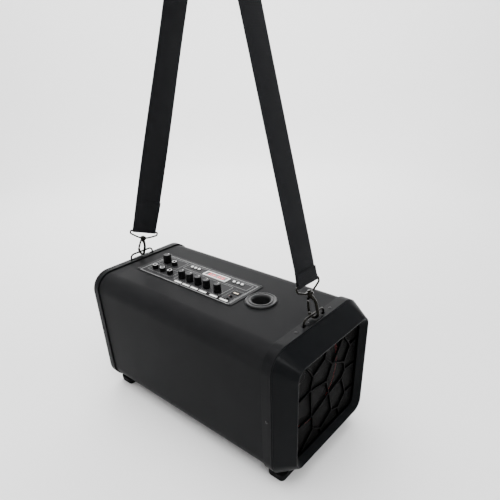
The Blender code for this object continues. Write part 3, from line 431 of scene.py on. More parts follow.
def make_cabinet():
    """The wrapped tube, cut open for the control panel and the bass port."""
    half = (CAB_HIGH.y, (CAB_HIGH.z - CAB_LOW.z) / 2)
    edge = 0.0004
    profile = [(CAB_LOW.x, edge), (CAB_LOW.x + edge, 0.0), (CAB_HIGH.x - edge, 0.0), (CAB_HIGH.x, edge),
               (CAB_HIGH.x, CAB_WALL), (CAB_LOW.x, CAB_WALL)]
    mid_x = (PANEL_LOW.x + PANEL_HIGH.x) / 2
    half_x = (PANEL_HIGH.x - PANEL_LOW.x) / 2 - 0.008
    opening = loft([loop_at_z(z, half_x, PANEL_HIGH.y - 0.010, 0.004, (mid_x, 0.0))
                    for z in (CAB_HIGH.z - 0.02, CAB_HIGH.z + 0.01)])
    hole = 0.0192
    port = turned([(0.0, -0.02), (hole, -0.02), (hole, 0.01), (0.0, 0.01)], 64, (PORT_X, 0.0, CAB_HIGH.z))
    mesh = carve(shell_of(profile, half, CAB_R, steps=20), opening, port)
    piece("cabinet_cover", mesh, LEATHERETTE, ["cabinet_shell"], weighted=True)


def pocket_tools(end):
    """What is cut from a frame's top for a ring's pivot bar and its clamp."""
    above = FRAME_TOP + 0.01
    place = (RING_X[end], 0.0)
    slot = rounded_box(place, (0.0030, 0.0330), 0.0012, FRAME_TOP - 0.0080, above)
    rebate = rounded_box(place, (CLAMP_HALF_X[end], 0.0243), 0.006, FRAME_TOP - 0.0020, above, steps=10)
    return slot, rebate


def make_frames():
    """The rear frame, the dark seal in front of it, and the band behind the bezel."""
    edge = 0.0035
    x0 = REAR_LOW.x
    x1 = REAR_HIGH.x
    fillet = [(x0 + edge - a, edge - b) for a, b in arc((0.0, 0.0), edge, 90, 0, 6)]
    profile = [(x1, 0.0006), (x1 - 0.0006, 0.0)] + fillet
    profile += [(x0, FRAME_WALL - 0.002), (x0 + 0.0006, FRAME_WALL - 0.0006), (x0 + 0.002, FRAME_WALL),
                (x1, FRAME_WALL + 0.004)]
    mesh = carve(shell_of(profile), *pocket_tools(0))
    piece("rear_end_frame", mesh, FRAME, ["rear_frame"], weighted=True)

    half = (CAB_HIGH.y - 0.001, (CAB_HIGH.z - CAB_LOW.z) / 2 - 0.001)
    seal_low, seal_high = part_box("rear_gasket")
    width = 0.010
    profile = [(seal_low.x, 0.0), (seal_high.x, 0.0), (seal_high.x, width), (seal_low.x, width)]
    seal = shell_of(profile, half, CAB_R - 0.001, steps=20)
    piece("rear_seal", seal, RUBBER, ["rear_gasket"])

    x0 = BAND_LOW.x
    x1 = BAND_HIGH.x
    profile = [(x0, FRAME_WALL), (x0, 0.0010), (x0 + 0.0003, 0.0003), (x0 + 0.0010, 0.0), (x1 - 0.0006, 0.0),
               (x1, 0.0006), (x1, FRAME_WALL)]
    mesh = carve(shell_of(profile), *pocket_tools(1))
    piece("front_band", mesh, FRAME, ["front_frame"], weighted=True)


def make_bezel():
    """Tapered surround with a softened rim; gives back half the recess's width and height."""
    wall = (RIM_HALF_W - RIM_LIP, RIM_HALF_H - RIM_LIP)
    deep = (wall[0] - RECESS_INSET, wall[1] - RECESS_INSET)
    ledge = 0.006
    steps = 24
    x0 = BEZEL_LOW.x
    hidden = (deep[0] - ledge, deep[1] - ledge, 0.012, RIM_Z, steps)
    loops = [loop_at_x(x0, *hidden)]
    for ahead, inset, tighter in ((0.0, 0.0012, 0.003), (0.0008, 0.0006, 0.0025)):
        loops.append(loop_at_x(x0 + ahead, FRAME_HALF_W - inset, FRAME_HALF_H - inset, FRAME_R - tighter,
                               MID_Z, steps))
    rim = [(0.0018, -0.0006, 0.0), (0.0010, -0.0003, 0.0), (0.0005, 0.0, 0.0), (0.0001, 0.0003, 0.0003),
           (0.0, 0.0007, 0.0007), (0.0, RIM_LIP - 0.0005, RIM_LIP - 0.0005), (0.0003, RIM_LIP, RIM_LIP)]
    for back, inset, tighter in rim:
        loops.append(loop_at_x(X_RIM - back, RIM_HALF_W - inset, RIM_HALF_H - inset, RIM_R - tighter,
                               RIM_Z, steps))
    loops += [loop_at_x(X_GRILLE + 0.0006, deep[0] + 0.0003, deep[1] + 0.0003, 0.0168, RIM_Z, steps),
              loop_at_x(X_GRILLE - 0.0016, *deep, 0.0165, RIM_Z, steps),
              loop_at_x(X_GRILLE - 0.0016, *hidden)]
    piece("bezel", loft(loops, True), SHADED_BEZEL, ["front_bezel"], angle=28.0, weighted=True)
    return deep


def make_body_screws():
    """Screws that show in the two end frames and round the rear panel."""
    band_x = (BAND_LOW.x + BAND_HIGH.x) / 2
    places = []
    for x in (RING_X[0], band_x):
        for sign in (-1, 1):
            places.append(((x, sign * FRAME_HALF_W, MID_Z), (0, sign, 0)))
            places.append(((x, sign * 0.0520, FRAME_TOP), (0, 0, 1)))
    places.append(((RING_X[0], -FRAME_HALF_W, MID_Z - 0.075), (0, -1, 0)))
    screws("frame_screws", places, 0.0026)
    rear_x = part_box("rear_panel")[0].x
    ring = []
    for y, z in ((-0.104, 0.100), (0.0, 0.108), (0.104, 0.100), (0.109, 0.0), (0.104, -0.100), (0.0, -0.108),
                 (-0.104, -0.100), (-0.109, 0.0)):
        ring.append(((rear_x, y, MID_Z + z), (-1, 0, 0)))
    screws("rear_panel_screws", ring, 0.0030)


# ---------------------------------------------------------------- grille and woofer


def inside_rounded(a, b, half, radius):
    """Whether a point lies in a rounded rectangle about the origin."""
    da = abs(a) - (half[0] - radius)
    db = abs(b) - (half[1] - radius)
    if da <= 0 or db <= 0:
        return da <= radius and db <= radius
    return da * da + db * db <= radius * radius


def make_grille(deep):
    """Perforated sheet with staggered round holes and a plain margin."""
    half = (deep[0] - GAP, deep[1] - GAP)
    pitch = 0.0030
    hole = 0.0012
    front = GRILLE_HIGH.x - 0.0002
    back = front - 0.0004
    bm = bmesh.new()
    row_pitch = pitch * 0.866
    rows = int(half[1] / row_pitch) + 1
    columns = int(half[0] / pitch) + 1
    corner = [(math.cos(math.radians(30 + 60 * k)), math.sin(math.radians(30 + 60 * k))) for k in range(6)]
    reach = pitch / math.sqrt(3)
    for j in range(-rows, rows + 1):
        for i in range(-columns, columns + 1):
            a = (i + (0.5 if j % 2 else 0.0)) * pitch
            b = j * row_pitch
            if not inside_rounded(a, b, (half[0] - 0.002, half[1] - 0.002), 0.014):
                continue
            rings = []
            for radius, x in ((reach, front), (hole, front), (hole, back)):
                ring = [(x, a + radius * ca, RIM_Z + b + radius * cb) for ca, cb in corner]
                rings.append([bm.verts.new(point) for point in ring])
            skin(bm, rings, capped=False)
    piece("grille_perforated", bm, MESH_METAL, ["grille_mesh"], angle=40.0)
    proud = front + 0.00008
    profile = [(back, 0.0), (proud, 0.0), (proud, 0.0032), (back, 0.0032)]
    piece("grille_margin", shell_of(profile, half, 0.0162, RIM_Z, 20), MESH_METAL)

    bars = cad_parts["grille_lattice"].data.copy()
    lattice = piece("lattice_bars", bars, LATTICE, ["grille_lattice"], angle=30.0)
    soft = lattice.modifiers.new("edges", "BEVEL")
    soft.width = 0.0006
    soft.segments = 2
    soft.limit_method = "ANGLE"
    soft.harden_normals = True


def make_woofer():
    """The driver behind the grille, turned about its own axis; heights are along +X."""
    face = CAB_HIGH.x + 2 * GAP
    centre = (face, 0.0, MID_Z)
    forwards = (1, 0, 0)
    steps = 96
    roll = arc((0.0852, 0.0046), 0.0052, 0, 180, 12)
    inner_roll = arc((0.0852, 0.0046), 0.0042, 180, 0, 12)
    surround = [(0.0922, 0.0043), (0.0922, 0.0055)] + roll[1:]
    surround += [(0.0792, 0.0046), (0.0792, 0.0036), (0.0810, 0.0036)] + inner_roll[1:]
    piece("surround", ring_of(surround, steps, centre, forwards), RUBBER, ["woofer_surround"])
    cone = [(0.0780, 0.0040), (0.0780, 0.0052), (0.0755, 0.0052), (0.0720, 0.0012), (0.0500, -0.0200),
            (0.0262, -0.0370), (0.0262, -0.0390), (0.0500, -0.0216), (0.0750, 0.0034)]
    piece("cone_paper", ring_of(cone, steps, centre, forwards), PAPER, ["woofer_cone"], "cone")
    outer = arc((0.0, -0.0396), 0.0300, 12, 89.9, 14)
    inner = arc((0.0, -0.0396), 0.0290, 89.9, 14, 10)
    piece("dust_dome", ring_of(outer + inner, steps, centre, forwards), BLACK, ["dust_cap"], "cone")
    guide = [(0.0938, 0.0043), (0.0990, 0.0043), (0.0990, 0.0063), (0.0976, 0.0073), (0.0952, 0.0073),
             (0.0938, 0.0063)]
    piece("led_light_guide", ring_of(guide, steps, centre, forwards), LED, ["led_ring"])


def make_port():
    """Flared tube with a raised outer lip and a dished step round its mouth."""
    bore = 0.0170
    flange = 0.0305
    lip = arc((flange - 0.0024, 0.0016), 0.0024, 0, 110, 9)
    step = [(flange - 0.0050, 0.0030), (flange - 0.0062, 0.0029)]
    throat = arc((bore + 0.0046, -0.0002), 0.0046, 75, 180, 12)
    wall = [(bore, -0.060), (bore + 0.0018, -0.060), (bore + 0.0018, 0.0), (flange, 0.0)]
    bm = ring_of(lip + step + throat + wall, 96, (PORT_X, 0.0, CAB_HIGH.z + GAP))
    piece("port_tube", bm, PORT_BLACK, ["bass_port"], angle=45.0)


# ---------------------------------------------------------------- control panel


def printed_bar(bm, centre, half, turn=0.0):
    place = Matrix.Translation((centre[0], centre[1], PANEL_TOP + INK / 2)) @ Matrix.Rotation(turn, 4, "Z")
    block(bm, place, (half[0] * 2, half[1] * 2, INK))


def outlined(bm, low, high, radius, width):
    """A printed line round the box between two corners, a hair above the plate."""
    centre = ((low[0] + high[0]) / 2, (low[1] + high[1]) / 2)
    half = ((high[0] - low[0]) / 2, (high[1] - low[1]) / 2)
    z = PANEL_TOP
    loops = []
    for inset, height in ((0.0, z), (0.0, z + INK), (width, z + INK), (width, z)):
        tighter = max(radius - inset, 0.0001)
        loops.append(loop_at_z(height, half[0] - inset, half[1] - inset, tighter, centre, 6))
    loft(loops, True, bm)


def make_panel():
    make_panel_plate()
    make_panel_print()
    places = [((x, y, PANEL_TOP), (0, 0, 1)) for x in (-0.2085, -0.0745, 0.0632) for y in (-0.0455, 0.0455)]
    screws("panel_screws", places, 0.0026)


def make_panel_plate():
    """The plate, with a hole for everything that comes through it."""
    centre = ((PANEL_LOW.x + PANEL_HIGH.x) / 2, 0.0)
    half = ((PANEL_HIGH.x - PANEL_LOW.x) / 2, PANEL_HIGH.y)
    plate = rounded_box(centre, half, 0.004, PANEL_LOW.z, PANEL_TOP, edge=0.0006)
    low = PANEL_LOW.z - 0.01
    high = PANEL_TOP + 0.01
    holes = bmesh.new()
    places = [(c, 0.0036) for c in KNOB_XY + [VOLUME_XY]] + [(c, 0.0054) for c in JACK_XY]
    places += [(c, 0.0038) for c in BUTTON_XY] + [(AUX_XY, 0.0043), (CHARGE_XY, 0.0035)]
    for (x, y), radius in places:
        turned([(0.0, low), (radius, low), (radius, high), (0.0, high)], 32, (x, y, 0.0), bm=holes)
    for (x, y), (a, b) in ((USB_XY, USB_OPENING), (DISPLAY_XY, DISPLAY_OPENING)):
        box((x - a, y - b, low), (x + a, y + b, high), holes)
    piece("panel_plate", carve(plate, holes), PANEL, ["control_panel"], weighted=True)


def make_panel_print():
    """Blank outlines, dial marks and label bars where the object has lettering and lines; the black band
    behind the bars is painted shade.
    """
    grey = bmesh.new()
    left, low = (KNOB_XY[0][0] - 0.1110, -0.0476)
    right, high = (USB_XY[0] + 0.0170, 0.0430)
    knob_y = KNOB_XY[0][1]
    knobs_low = knob_y - 0.0118
    volume_x, volume_y = VOLUME_XY
    boxes = (
        ((left, low), (right, high), 0.0030, 0.0007),
        ((left + 0.0016, low + 0.0008), (right - 0.0016, high - 0.0016), 0.0020, 0.0009),
        ((JACK_XY[0][0] - 0.0160, knobs_low), (JACK_XY[2][0] + 0.0125, knob_y + 0.0165), 0.0040, 0.0006),
        ((KNOB_XY[0][0] - 0.0150, knobs_low), (KNOB_XY[4][0] + 0.0128, knob_y + 0.0330), 0.0040, 0.0007),
        ((volume_x - 0.0165, volume_y - 0.0150), (JACK_XY[3][0] + 0.0190, volume_y + 0.0235), 0.0040, 0.0007),
        ((BUTTON_XY[0][0] - 0.0150, DISPLAY_XY[1] - 0.0112), (BUTTON_XY[5][0] + 0.0235, 0.0368),
         0.0035, 0.0009),
        ((USB_XY[0] - 0.0130, -0.0375), (USB_XY[0] + 0.0130, USB_XY[1] + 0.0100), 0.0030, 0.0004),
    )
    for corner_low, corner_high, radius, width in boxes:
        outlined(grey, corner_low, corner_high, radius, width)
    sweep = math.radians(150.0)
    for (cx, cy), reach in [(c, 0.0102) for c in KNOB_XY] + [(VOLUME_XY, 0.0122)]:
        for k in range(11):
            angle = math.pi / 2 + sweep - 2 * sweep * k / 10
            size = (0.0009, 0.0003) if k in (0, 5, 10) else (0.0006, 0.0002)
            printed_bar(grey, (cx + reach * math.cos(angle), cy + reach * math.sin(angle)), size, angle)
    piece("panel_lines", grey, PRINT_GREY, angle=20.0)

    bar_x = [c[0] + 0.0052 for c in KNOB_XY] + [USB_XY[0] - 0.0020]
    # Painted shade: a black band under and between the label bars, for the dark line below them and the gaps
    # between them.
    black = bmesh.new()
    middle = ((bar_x[0] + bar_x[-1]) / 2, -0.0404)
    printed_bar(black, middle, ((bar_x[-1] - bar_x[0]) / 2 + 0.0125, 0.0046))
    piece("panel_label_shade_band", black, BLACK, angle=20.0)
    white = bmesh.new()
    for x in bar_x:
        rounded_box((x, -0.0400), (0.0098, 0.0023), 0.0005, PANEL_TOP, PANEL_TOP + 2 * INK, INK / 2, white, 3)
    piece("panel_label_bars", white, PRINT_WHITE, angle=20.0)


def make_knob(name, node, body, centre, radius):
    """A fluted knob with a plain skirt, a paler cap let into its top, and a pointer."""
    low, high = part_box(node)
    base = PANEL_TOP + 0.0008
    top = high.z
    flat = top - 0.0007
    place = (*centre, 0.0)
    bm = bmesh.new()
    skirt = [(0.0, base), (radius * 0.94, base), (radius, base + 0.0010), (radius, base + 0.0030),
             (radius * 0.96, base + 0.0040), (radius * 0.5, base + 0.0044), (0.0, base + 0.0044)]
    turned(skirt, 64, place, bm=bm)
    grip = [(radius * 0.5, base + 0.0040), (radius * 0.93, base + 0.0041), (radius * 0.90, flat - 0.0008),
            (radius * 0.88, flat), (radius * 0.84, top), (radius * 0.80, top), (radius * 0.78, flat),
            (0.0, flat)]
    turned(grip, 144, place, bm=bm, flutes=18, depth=0.0006)
    turned([(0.0, low.z), (0.0030, low.z), (0.0030, base + 0.001), (0.0, base + 0.001)], 24, place, bm=bm)
    piece(name, bm, BLACK, [node], body, angle=40.0)
    cap = [(0.0, flat - 0.0004), (radius * 0.80, flat - 0.0004), (radius * 0.80, top - 0.0003),
           (radius * 0.76, top), (0.0, top - 0.0002)]
    piece(name + "_cap", turned(cap, 48, place), KNOB_TOP, body=body, angle=35.0)
    mark = box((centre[0] - 0.0004, centre[1] + radius * 0.30, top - 0.0006),
               (centre[0] + 0.0004, centre[1] + radius * 0.74, top + 0.0001))
    piece(name + "_pointer", mark, PRINT_WHITE, body=body)


def make_jack(name, node, centre):
    """A socket's collar with its bright nut."""
    z = PANEL_TOP + GAP
    high = 0.0090
    bore = 0.0033
    body = [(bore, -0.0120), (bore, high - 0.0012), (0.0052, high - 0.0010), (0.0058, high - 0.0006),
            (0.0064, high - 0.0008), (0.0068, high - 0.0018), (0.0068, 0.0008), (0.0064, 0.0), (0.0048, 0.0),
            (0.0048, -0.0120)]
    piece(name, ring_of(body, 64, (*centre, z)), BLACK, [node], angle=35.0)
    nut = [(bore + 0.0002, high - 0.0016), (bore + 0.0002, high - 0.0002), (bore + 0.0005, high),
           (0.0049, high), (0.0053, high - 0.0004), (0.0053, high - 0.0016)]
    piece(name + "_nut", ring_of(nut, 48, (*centre, z)), BRIGHT, angle=35.0)


def make_controls():
    for i, centre in enumerate(KNOB_XY, 1):
        make_knob("tone_%d_knob" % i, "tone_knob_%d" % i, "tone_%d" % i, centre, 0.0080)
    make_knob("volume_dial", "volume_knob", "volume", VOLUME_XY, 0.0096)
    for i, centre in enumerate(JACK_XY, 1):
        make_jack("jack_%d" % i, "input_jack_%d" % i, centre)
    make_buttons()
    make_sockets()


def make_buttons():
    """Six domed caps, each on its own body, and black rings round them whose dark beside the plate is painted
    shade at the caps' feet.
    """
    shaded_wells = bmesh.new()
    shaded_well = [(0.0034, 0.0), (0.0052, 0.0), (0.0052, 0.0003), (0.0048, 0.0008), (0.0038, 0.0009),
            (0.0034, 0.0006)]
    for i, (x, y) in enumerate(BUTTON_XY, 1):
        node = "push_button_%d" % i
        low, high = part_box(node)
        r = 0.0032
        profile = [(0.0, low.z), (r, low.z), (r, high.z - 0.0011), (r * 0.96, high.z - 0.0006),
                   (r * 0.86, high.z - 0.0002), (r * 0.6, high.z), (0.0, high.z)]
        piece("button_cap_%d" % i, turned(profile, 40, (x, y, 0.0)), WHITE, [node], "button_%d" % i)
        # The black ring round each cap is a real collar, painted darker than the plate as the shade at the
        # cap's foot.
        ring_of(shaded_well, 40, (x, y, PANEL_TOP), bm=shaded_wells)
    piece("button_wells", shaded_wells, BLACK, angle=30.0)


def make_sockets():
    """The data socket with a black surround that is partly painted shade round its mouth, the two round
    sockets, and the lamp beside one of them.
    """
    x, y = USB_XY
    # Painted shade: the black plate round the socket is a surround that also stands for the shadow round its
    # mouth.
    surround = rounded_box((x, y), (0.0094, 0.0062), 0.0012, PANEL_TOP, PANEL_TOP + 0.0007, 0.0003)
    slot = rounded_box((x, y), USB_OPENING, 0.0008, PANEL_TOP - 0.01, PANEL_TOP + 0.01)
    piece("usb_shade_surround", carve(surround, slot), BLACK, angle=35.0)
    low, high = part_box("usb_port")
    can = rounded_box((x, y), (0.00725, 0.00375), 0.0008, low.z, high.z, 0.0003)
    mouth = box((x - 0.0062, y - 0.0024, high.z - 0.0105), (x + 0.0062, y + 0.0024, high.z + 0.01))
    piece("usb_shell", carve(can, mouth), BLACK, ["usb_port"])
    tongue = rounded_box((x, y - 0.0003), (0.0060, 0.0018), 0.0002, high.z - 0.0104, high.z - 0.0004, 0.0002)
    piece("usb_tongue", tongue, BEIGE)
    for name, node, (cx, cy), outer, inner in (("aux_socket", "aux_jack", AUX_XY, 0.0040, 0.0022),
                                               ("charge_ring", "charge_socket", CHARGE_XY, 0.0032, 0.0021)):
        profile = [(inner, -0.0100), (inner, 0.0015), (inner + 0.0003, 0.0018), (outer - 0.0006, 0.0018),
                   (outer - 0.0002, 0.0016), (outer, 0.0012), (outer, -0.0100)]
        piece(name, ring_of(profile, 40, (cx, cy, PANEL_TOP)), BLACK, [node])
    lamp = [(0.0, PANEL_TOP - 0.0005), (0.0015, PANEL_TOP - 0.0005), (0.0015, PANEL_TOP + 0.0004),
            (0.0011, PANEL_TOP + 0.0008), (0.0, PANEL_TOP + 0.0010)]
    place = (CHARGE_XY[0] - 0.0052, CHARGE_XY[1] + 0.0012, 0.0)
    piece("charge_lamp", turned(lamp, 24, place), LAMP)


def make_display():
    """Rim, window and four figures of bars with a colon between them."""
    x, y = DISPLAY_XY
    z0 = PANEL_TOP + GAP
    top = z0 + 0.0012
    rim = rounded_box((x, y), DISPLAY_HALF, 0.0015, z0, top, 0.0003)
    hole = rounded_box((x, y), DISPLAY_OPENING, 0.0006, z0 - 0.01, z0 + 0.01)
    piece("display_rim", carve(rim, hole), WHITE, ["display_frame"])
    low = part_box("display_window")[0]
    lens = rounded_box((x, y), (0.0297, 0.0064), 0.0006, low.z, z0 + 0.0004, 0.0002)
    piece("display_lens", lens, WINDOW, ["display_window"])
    strokes = bmesh.new()
    high = z0 + 0.00046
    tall = 0.0088
    wide = 0.0052
    thick = 0.0011

    def stroke(cx, cy, half_x, half_y):
        box((cx - half_x, cy - half_y, high - 0.0002), (cx + half_x, cy + half_y, high), strokes)

    for k in (-1.75, -0.75, 0.75, 1.75):
        cx = x + k * 0.0105
        for row in (-1, 0, 1):
            stroke(cx, y + row * tall / 2, wide / 2 - 0.0004, thick / 2)
        for row in (-1, 1):
            for column in (-1, 1):
                stroke(cx + column * wide / 2, y + row * tall / 4, thick / 2, tall / 4 - 0.0004)
    for row in (-1, 1):
        stroke(x, y + row * 0.0020, 0.0006, 0.0006)
    piece("display_segments", strokes, DIGITS)


# ---------------------------------------------------------------- feet, rings and clamps


def make_feet():
    """Rubber blocks, widest a little above the floor, with a raised disc on each end face."""
    button = [(0.0, -0.0010), (0.0030, -0.0010), (0.0030, 0.0002), (0.0024, 0.0006), (0.0, 0.0008)]
    for end in ("rear", "front"):
        for hand in ("right", "left"):
            node = "foot_%s_%s" % (end, hand)
            low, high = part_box(node)
            centre = middle_of(node)
            half = ((high.x - low.x) / 2, (high.y - low.y) / 2)
            levels = [(0.0, 0.0030), (0.0004, 0.0022), (0.0012, 0.0015), (0.0026, 0.0009), (0.0050, 0.0005),
                      (high.z - 0.0012, 0.0), (high.z - 0.0003, 0.0003), (high.z, 0.0010)]
            loops = [loop_at_z(z, half[0] - i, half[1] - i, 0.0090 - i, centre, 10) for z, i in levels]
            bm = loft(loops)
            for sign in (-1, 1):
                face = centre[0] + sign * half[0]
                turned(button, 24, (face - sign * 0.0002, centre[1], 0.0088), (sign, 0, 0), bm)
            piece("rubber_" + node, bm, RUBBER, [node])


def make_rings():
    """Wire rings, and the screwed clamp plates that hold their pivot bars."""
    low = FRAME_TOP - 0.0040
    top_r = 0.0085
    low_r = 0.0035
    half = RING_HALF_W
    for end, x, half_x in zip(("rear", "front"), RING_X, CLAMP_HALF_X):
        outline = arc((half - top_r, WIRE_Z - top_r), top_r, 0, 90, 12)
        outline += arc((-half + top_r, WIRE_Z - top_r), top_r, 90, 180, 12)
        outline += arc((-half + low_r, low + low_r), low_r, 180, 270, 6)
        outline += arc((half - low_r, low + low_r), low_r, 270, 360, 6)
        points = [(x, a, b) for a, b in outline]
        wire = tube(points, RING_WIRE_R, 20, True, (1.0, 0.0, 0.0))
        piece("wire_ring_" + end, wire, GUNMETAL, ["strap_ring_" + end], "ring_" + end, angle=50.0)
        node = "ring_clamp_" + end
        clamp_low, clamp_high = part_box(node)
        top = clamp_high.z + 0.0006
        plate = rounded_box((x, 0.0), (half_x - GAP, 0.0240), 0.0057, clamp_low.z, top, 0.0006, steps=12)
        piece("clamp_plate_" + end, plate, FRAME, [node])
        screws("clamp_screws_" + end, [((x, y, top), (0, 0, 1)) for y in (-0.0150, 0.0150)], 0.0019)


# ---------------------------------------------------------------- strap and its fittings


class Leg:
    """One taut leg of the strap: u runs up it, v across it towards the grille, w along the buckle's bar."""

    def __init__(self, index):
        self.end = ("rear", "front")[index]
        inwards = (1.0, -1.0)[index]
        lean = LEAN[index]
        self.seat = Vector((RING_X[index], 0.0, WIRE_Z))
        self.u = Vector((inwards * math.sin(lean), 0.0, math.cos(lean)))
        self.v = Vector((math.cos(lean), 0.0, -inwards * math.sin(lean)))
        self.inwards = self.v * inwards
        self.twist = TWIST[index]
        self.w = Matrix.Rotation(-self.twist, 3, self.u) @ Vector((0.0, 1.0, 0.0))
        self.normal = self.w.cross(self.u)
        self.ply_end = PLY_END[index]
        self.stitch_rows = STITCH_ROWS[index]

    def at(self, v, u, w=0.0):
        """The point at these distances from where the hook rests on its ring."""
        return self.seat + self.v * v + self.u * u + self.w * w


def make_hook(leg):
    """A snap hook with its swivel stud, and the straight gate that closes it."""
    bend = 0.0092
    centre_u = bend - 0.0063
    path = arc((0.0, centre_u), bend, -178, 0, 28)
    path += [(bend, 0.0080), (bend, 0.0120), (bend, 0.0160), (0.0091, 0.0195), (0.0084, 0.0228),
             (0.0072, 0.0256), (0.0056, 0.0280), (0.0036, 0.0302), (0.0018, 0.0318)]
    radii = [0.0015, 0.0024] + [0.0028] * (len(path) - 5) + [0.0030, 0.0032, 0.0030]
    bm = tube([leg.at(v, u) for v, u in path], radii, 20)
    shoulder = [(0.0010, 0.0318), (-0.0016, 0.0308), (-0.0044, 0.0290), (-0.0062, 0.0274),
                (-0.0070, 0.0262)]
    tube([leg.at(v, u) for v, u in shoulder], [0.0030, 0.0029, 0.0027, 0.0025, 0.0021], 18, bm=bm)
    ball = arc((0.0, 0.0330), 0.0048, -62, 40, 10)
    head = [(0.0023, 0.0362), (0.0023, 0.0408), (0.0034, 0.0409), (0.0040, 0.0414), (0.0039, 0.0424),
            (0.0028, 0.0432), (0.0, 0.0434)]
    stud = [(0.0, ball[0][1])] + ball + head
    turned(stud, 40, leg.seat, leg.u, bm)
    piece("clip_hook_" + leg.end, bm, GUNMETAL, ["snap_hook_" + leg.end], "hook_" + leg.end, angle=45.0)

    low = Vector((-0.0092, 0.0053))
    high = Vector((-0.0070, 0.0222))
    centres = []
    radii = []
    swell = ((-0.115, 0.35), (-0.09, 0.72), (-0.04, 0.95), (0.1, 1.0), (0.5, 0.92), (0.85, 1.0),
             (1.04, 0.95), (1.09, 0.72), (1.115, 0.35))
    for share, size in swell:
        point = low + (high - low) * share
        centres.append(leg.at(point.x, point.y))
        radii.append(0.0022 * size)
    bm = tube(centres, radii, 18)
    knob = [(0.0, -0.0006), (0.0016, -0.0006), (0.0016, 0.0010), (0.0010, 0.0016), (0.0, 0.0018)]
    turned(knob, 20, leg.at(-0.0098, 0.0100), -leg.v, bm)
    piece("clip_gate_" + leg.end, bm, GUNMETAL, ["hook_gate_" + leg.end], "gate_" + leg.end, angle=45.0)


def make_buckle(leg):
    """A wire loop with a bar for the webbing and a boss for the hook's stud."""
    half = 0.0290
    corner = 0.0022
    foot = 0.0384
    right = [(0.0040, foot), (0.0070, foot + 0.0006), (0.0120, foot + 0.0022), (0.0200, foot + 0.0058),
             (0.0262, 0.0474), (0.0280, 0.0486), (half, 0.0502), (half, BAR_U - corner)]
    right += arc((half - corner, BAR_U - corner), corner, 15, 90, 5)
    path = right + [(-w, u) for w, u in reversed(right)]
    bm = tube([leg.at(0.0, u, w) for w, u in path], BUCKLE_WIRE_R, 16, side=leg.w.cross(leg.u))
    boss = [(0.0028, 0.0364), (0.0060, 0.0364), (0.0066, 0.0370), (0.0066, 0.0398), (0.0060, 0.0404),
            (0.0028, 0.0404)]
    ring_of(boss, 40, leg.seat, leg.u, bm)
    piece("buckle_loop_" + leg.end, bm, GUNMETAL, ["swivel_buckle_" + leg.end], "strap", angle=45.0)


def eased(share):
    """0 to 1 with a soft start and stop."""
    share = min(1.0, max(0.0, share))
    return share * share * (3 - 2 * share)


def strap_stations(rear, front):
    """Centre, direction across and outward normal, all along the strap with its folded-back ends."""
    spread = front.seat.x - rear.seat.x
    rise = spread / (math.tan(LEAN[0]) + math.tan(LEAN[1]))
    apex = rear.seat + rear.u * (rise / math.cos(LEAN[0]))
    to_tangent = SHOULDER_R / math.tan((LEAN[0] + LEAN[1]) / 2)
    centre = apex - rear.u * to_tangent + rear.inwards * SHOULDER_R
    wrap = BUCKLE_WIRE_R + 0.0002 + WEB_HALF_T
    ply = 2 * WEB_HALF_T + 0.0001

    def fold(leg):
        """The end that is folded round the bar, from its cut edge to under the bar."""
        normal = leg.normal
        stations = []
        top = leg.ply_end
        steps = 12
        for i in range(steps):
            u = top + (BAR_U - top) * i / (steps - 1)
            offset = ply + (wrap - ply) * (1 - eased((u - BAR_U) / 0.012))
            skew = 0.0012 * (u - BAR_U) / (top - BAR_U)
            stations.append((leg.at(0.0, u, skew) + normal * offset, leg.w, normal))
        for i in range(1, 12):
            angle = math.pi * i / 12
            radial = normal * math.cos(angle) - leg.u * math.sin(angle)
            stations.append((leg.at(0.0, BAR_U) + radial * wrap, leg.w, radial))
        return stations

    def run(leg, length):
        """The single webbing from the bar up to where it goes over the shoulder."""
        stations = []
        steps = 30
        for i in range(steps + 1):
            share = i / steps
            u = BAR_U + (length - BAR_U) * share
            twist = leg.twist * (1 - eased(share))
            across = Matrix.Rotation(-twist, 3, leg.u) @ Vector((0.0, 1.0, 0.0))
            normal = across.cross(leg.u)
            offset = -wrap * (1 - eased((u - BAR_U) / 0.030))
            stations.append((leg.seat + leg.u * u + normal * offset, across, -normal))
        return stations

    rear_length = (apex - rear.seat).length - to_tangent
    front_length = (apex - front.seat).length - to_tangent
    stations = fold(rear) + run(rear, rear_length)
    sweep = math.pi - LEAN[0] - LEAN[1]
    for i in range(1, 28):
        turn = sweep * i / 28
        radial = math.cos(turn) * -rear.inwards + math.sin(turn) * rear.u
        stations.append((centre + radial * SHOULDER_R, Vector((0.0, 1.0, 0.0)), radial))
    stations += list(reversed(run(front, front_length))) + list(reversed(fold(front)))
    return stations


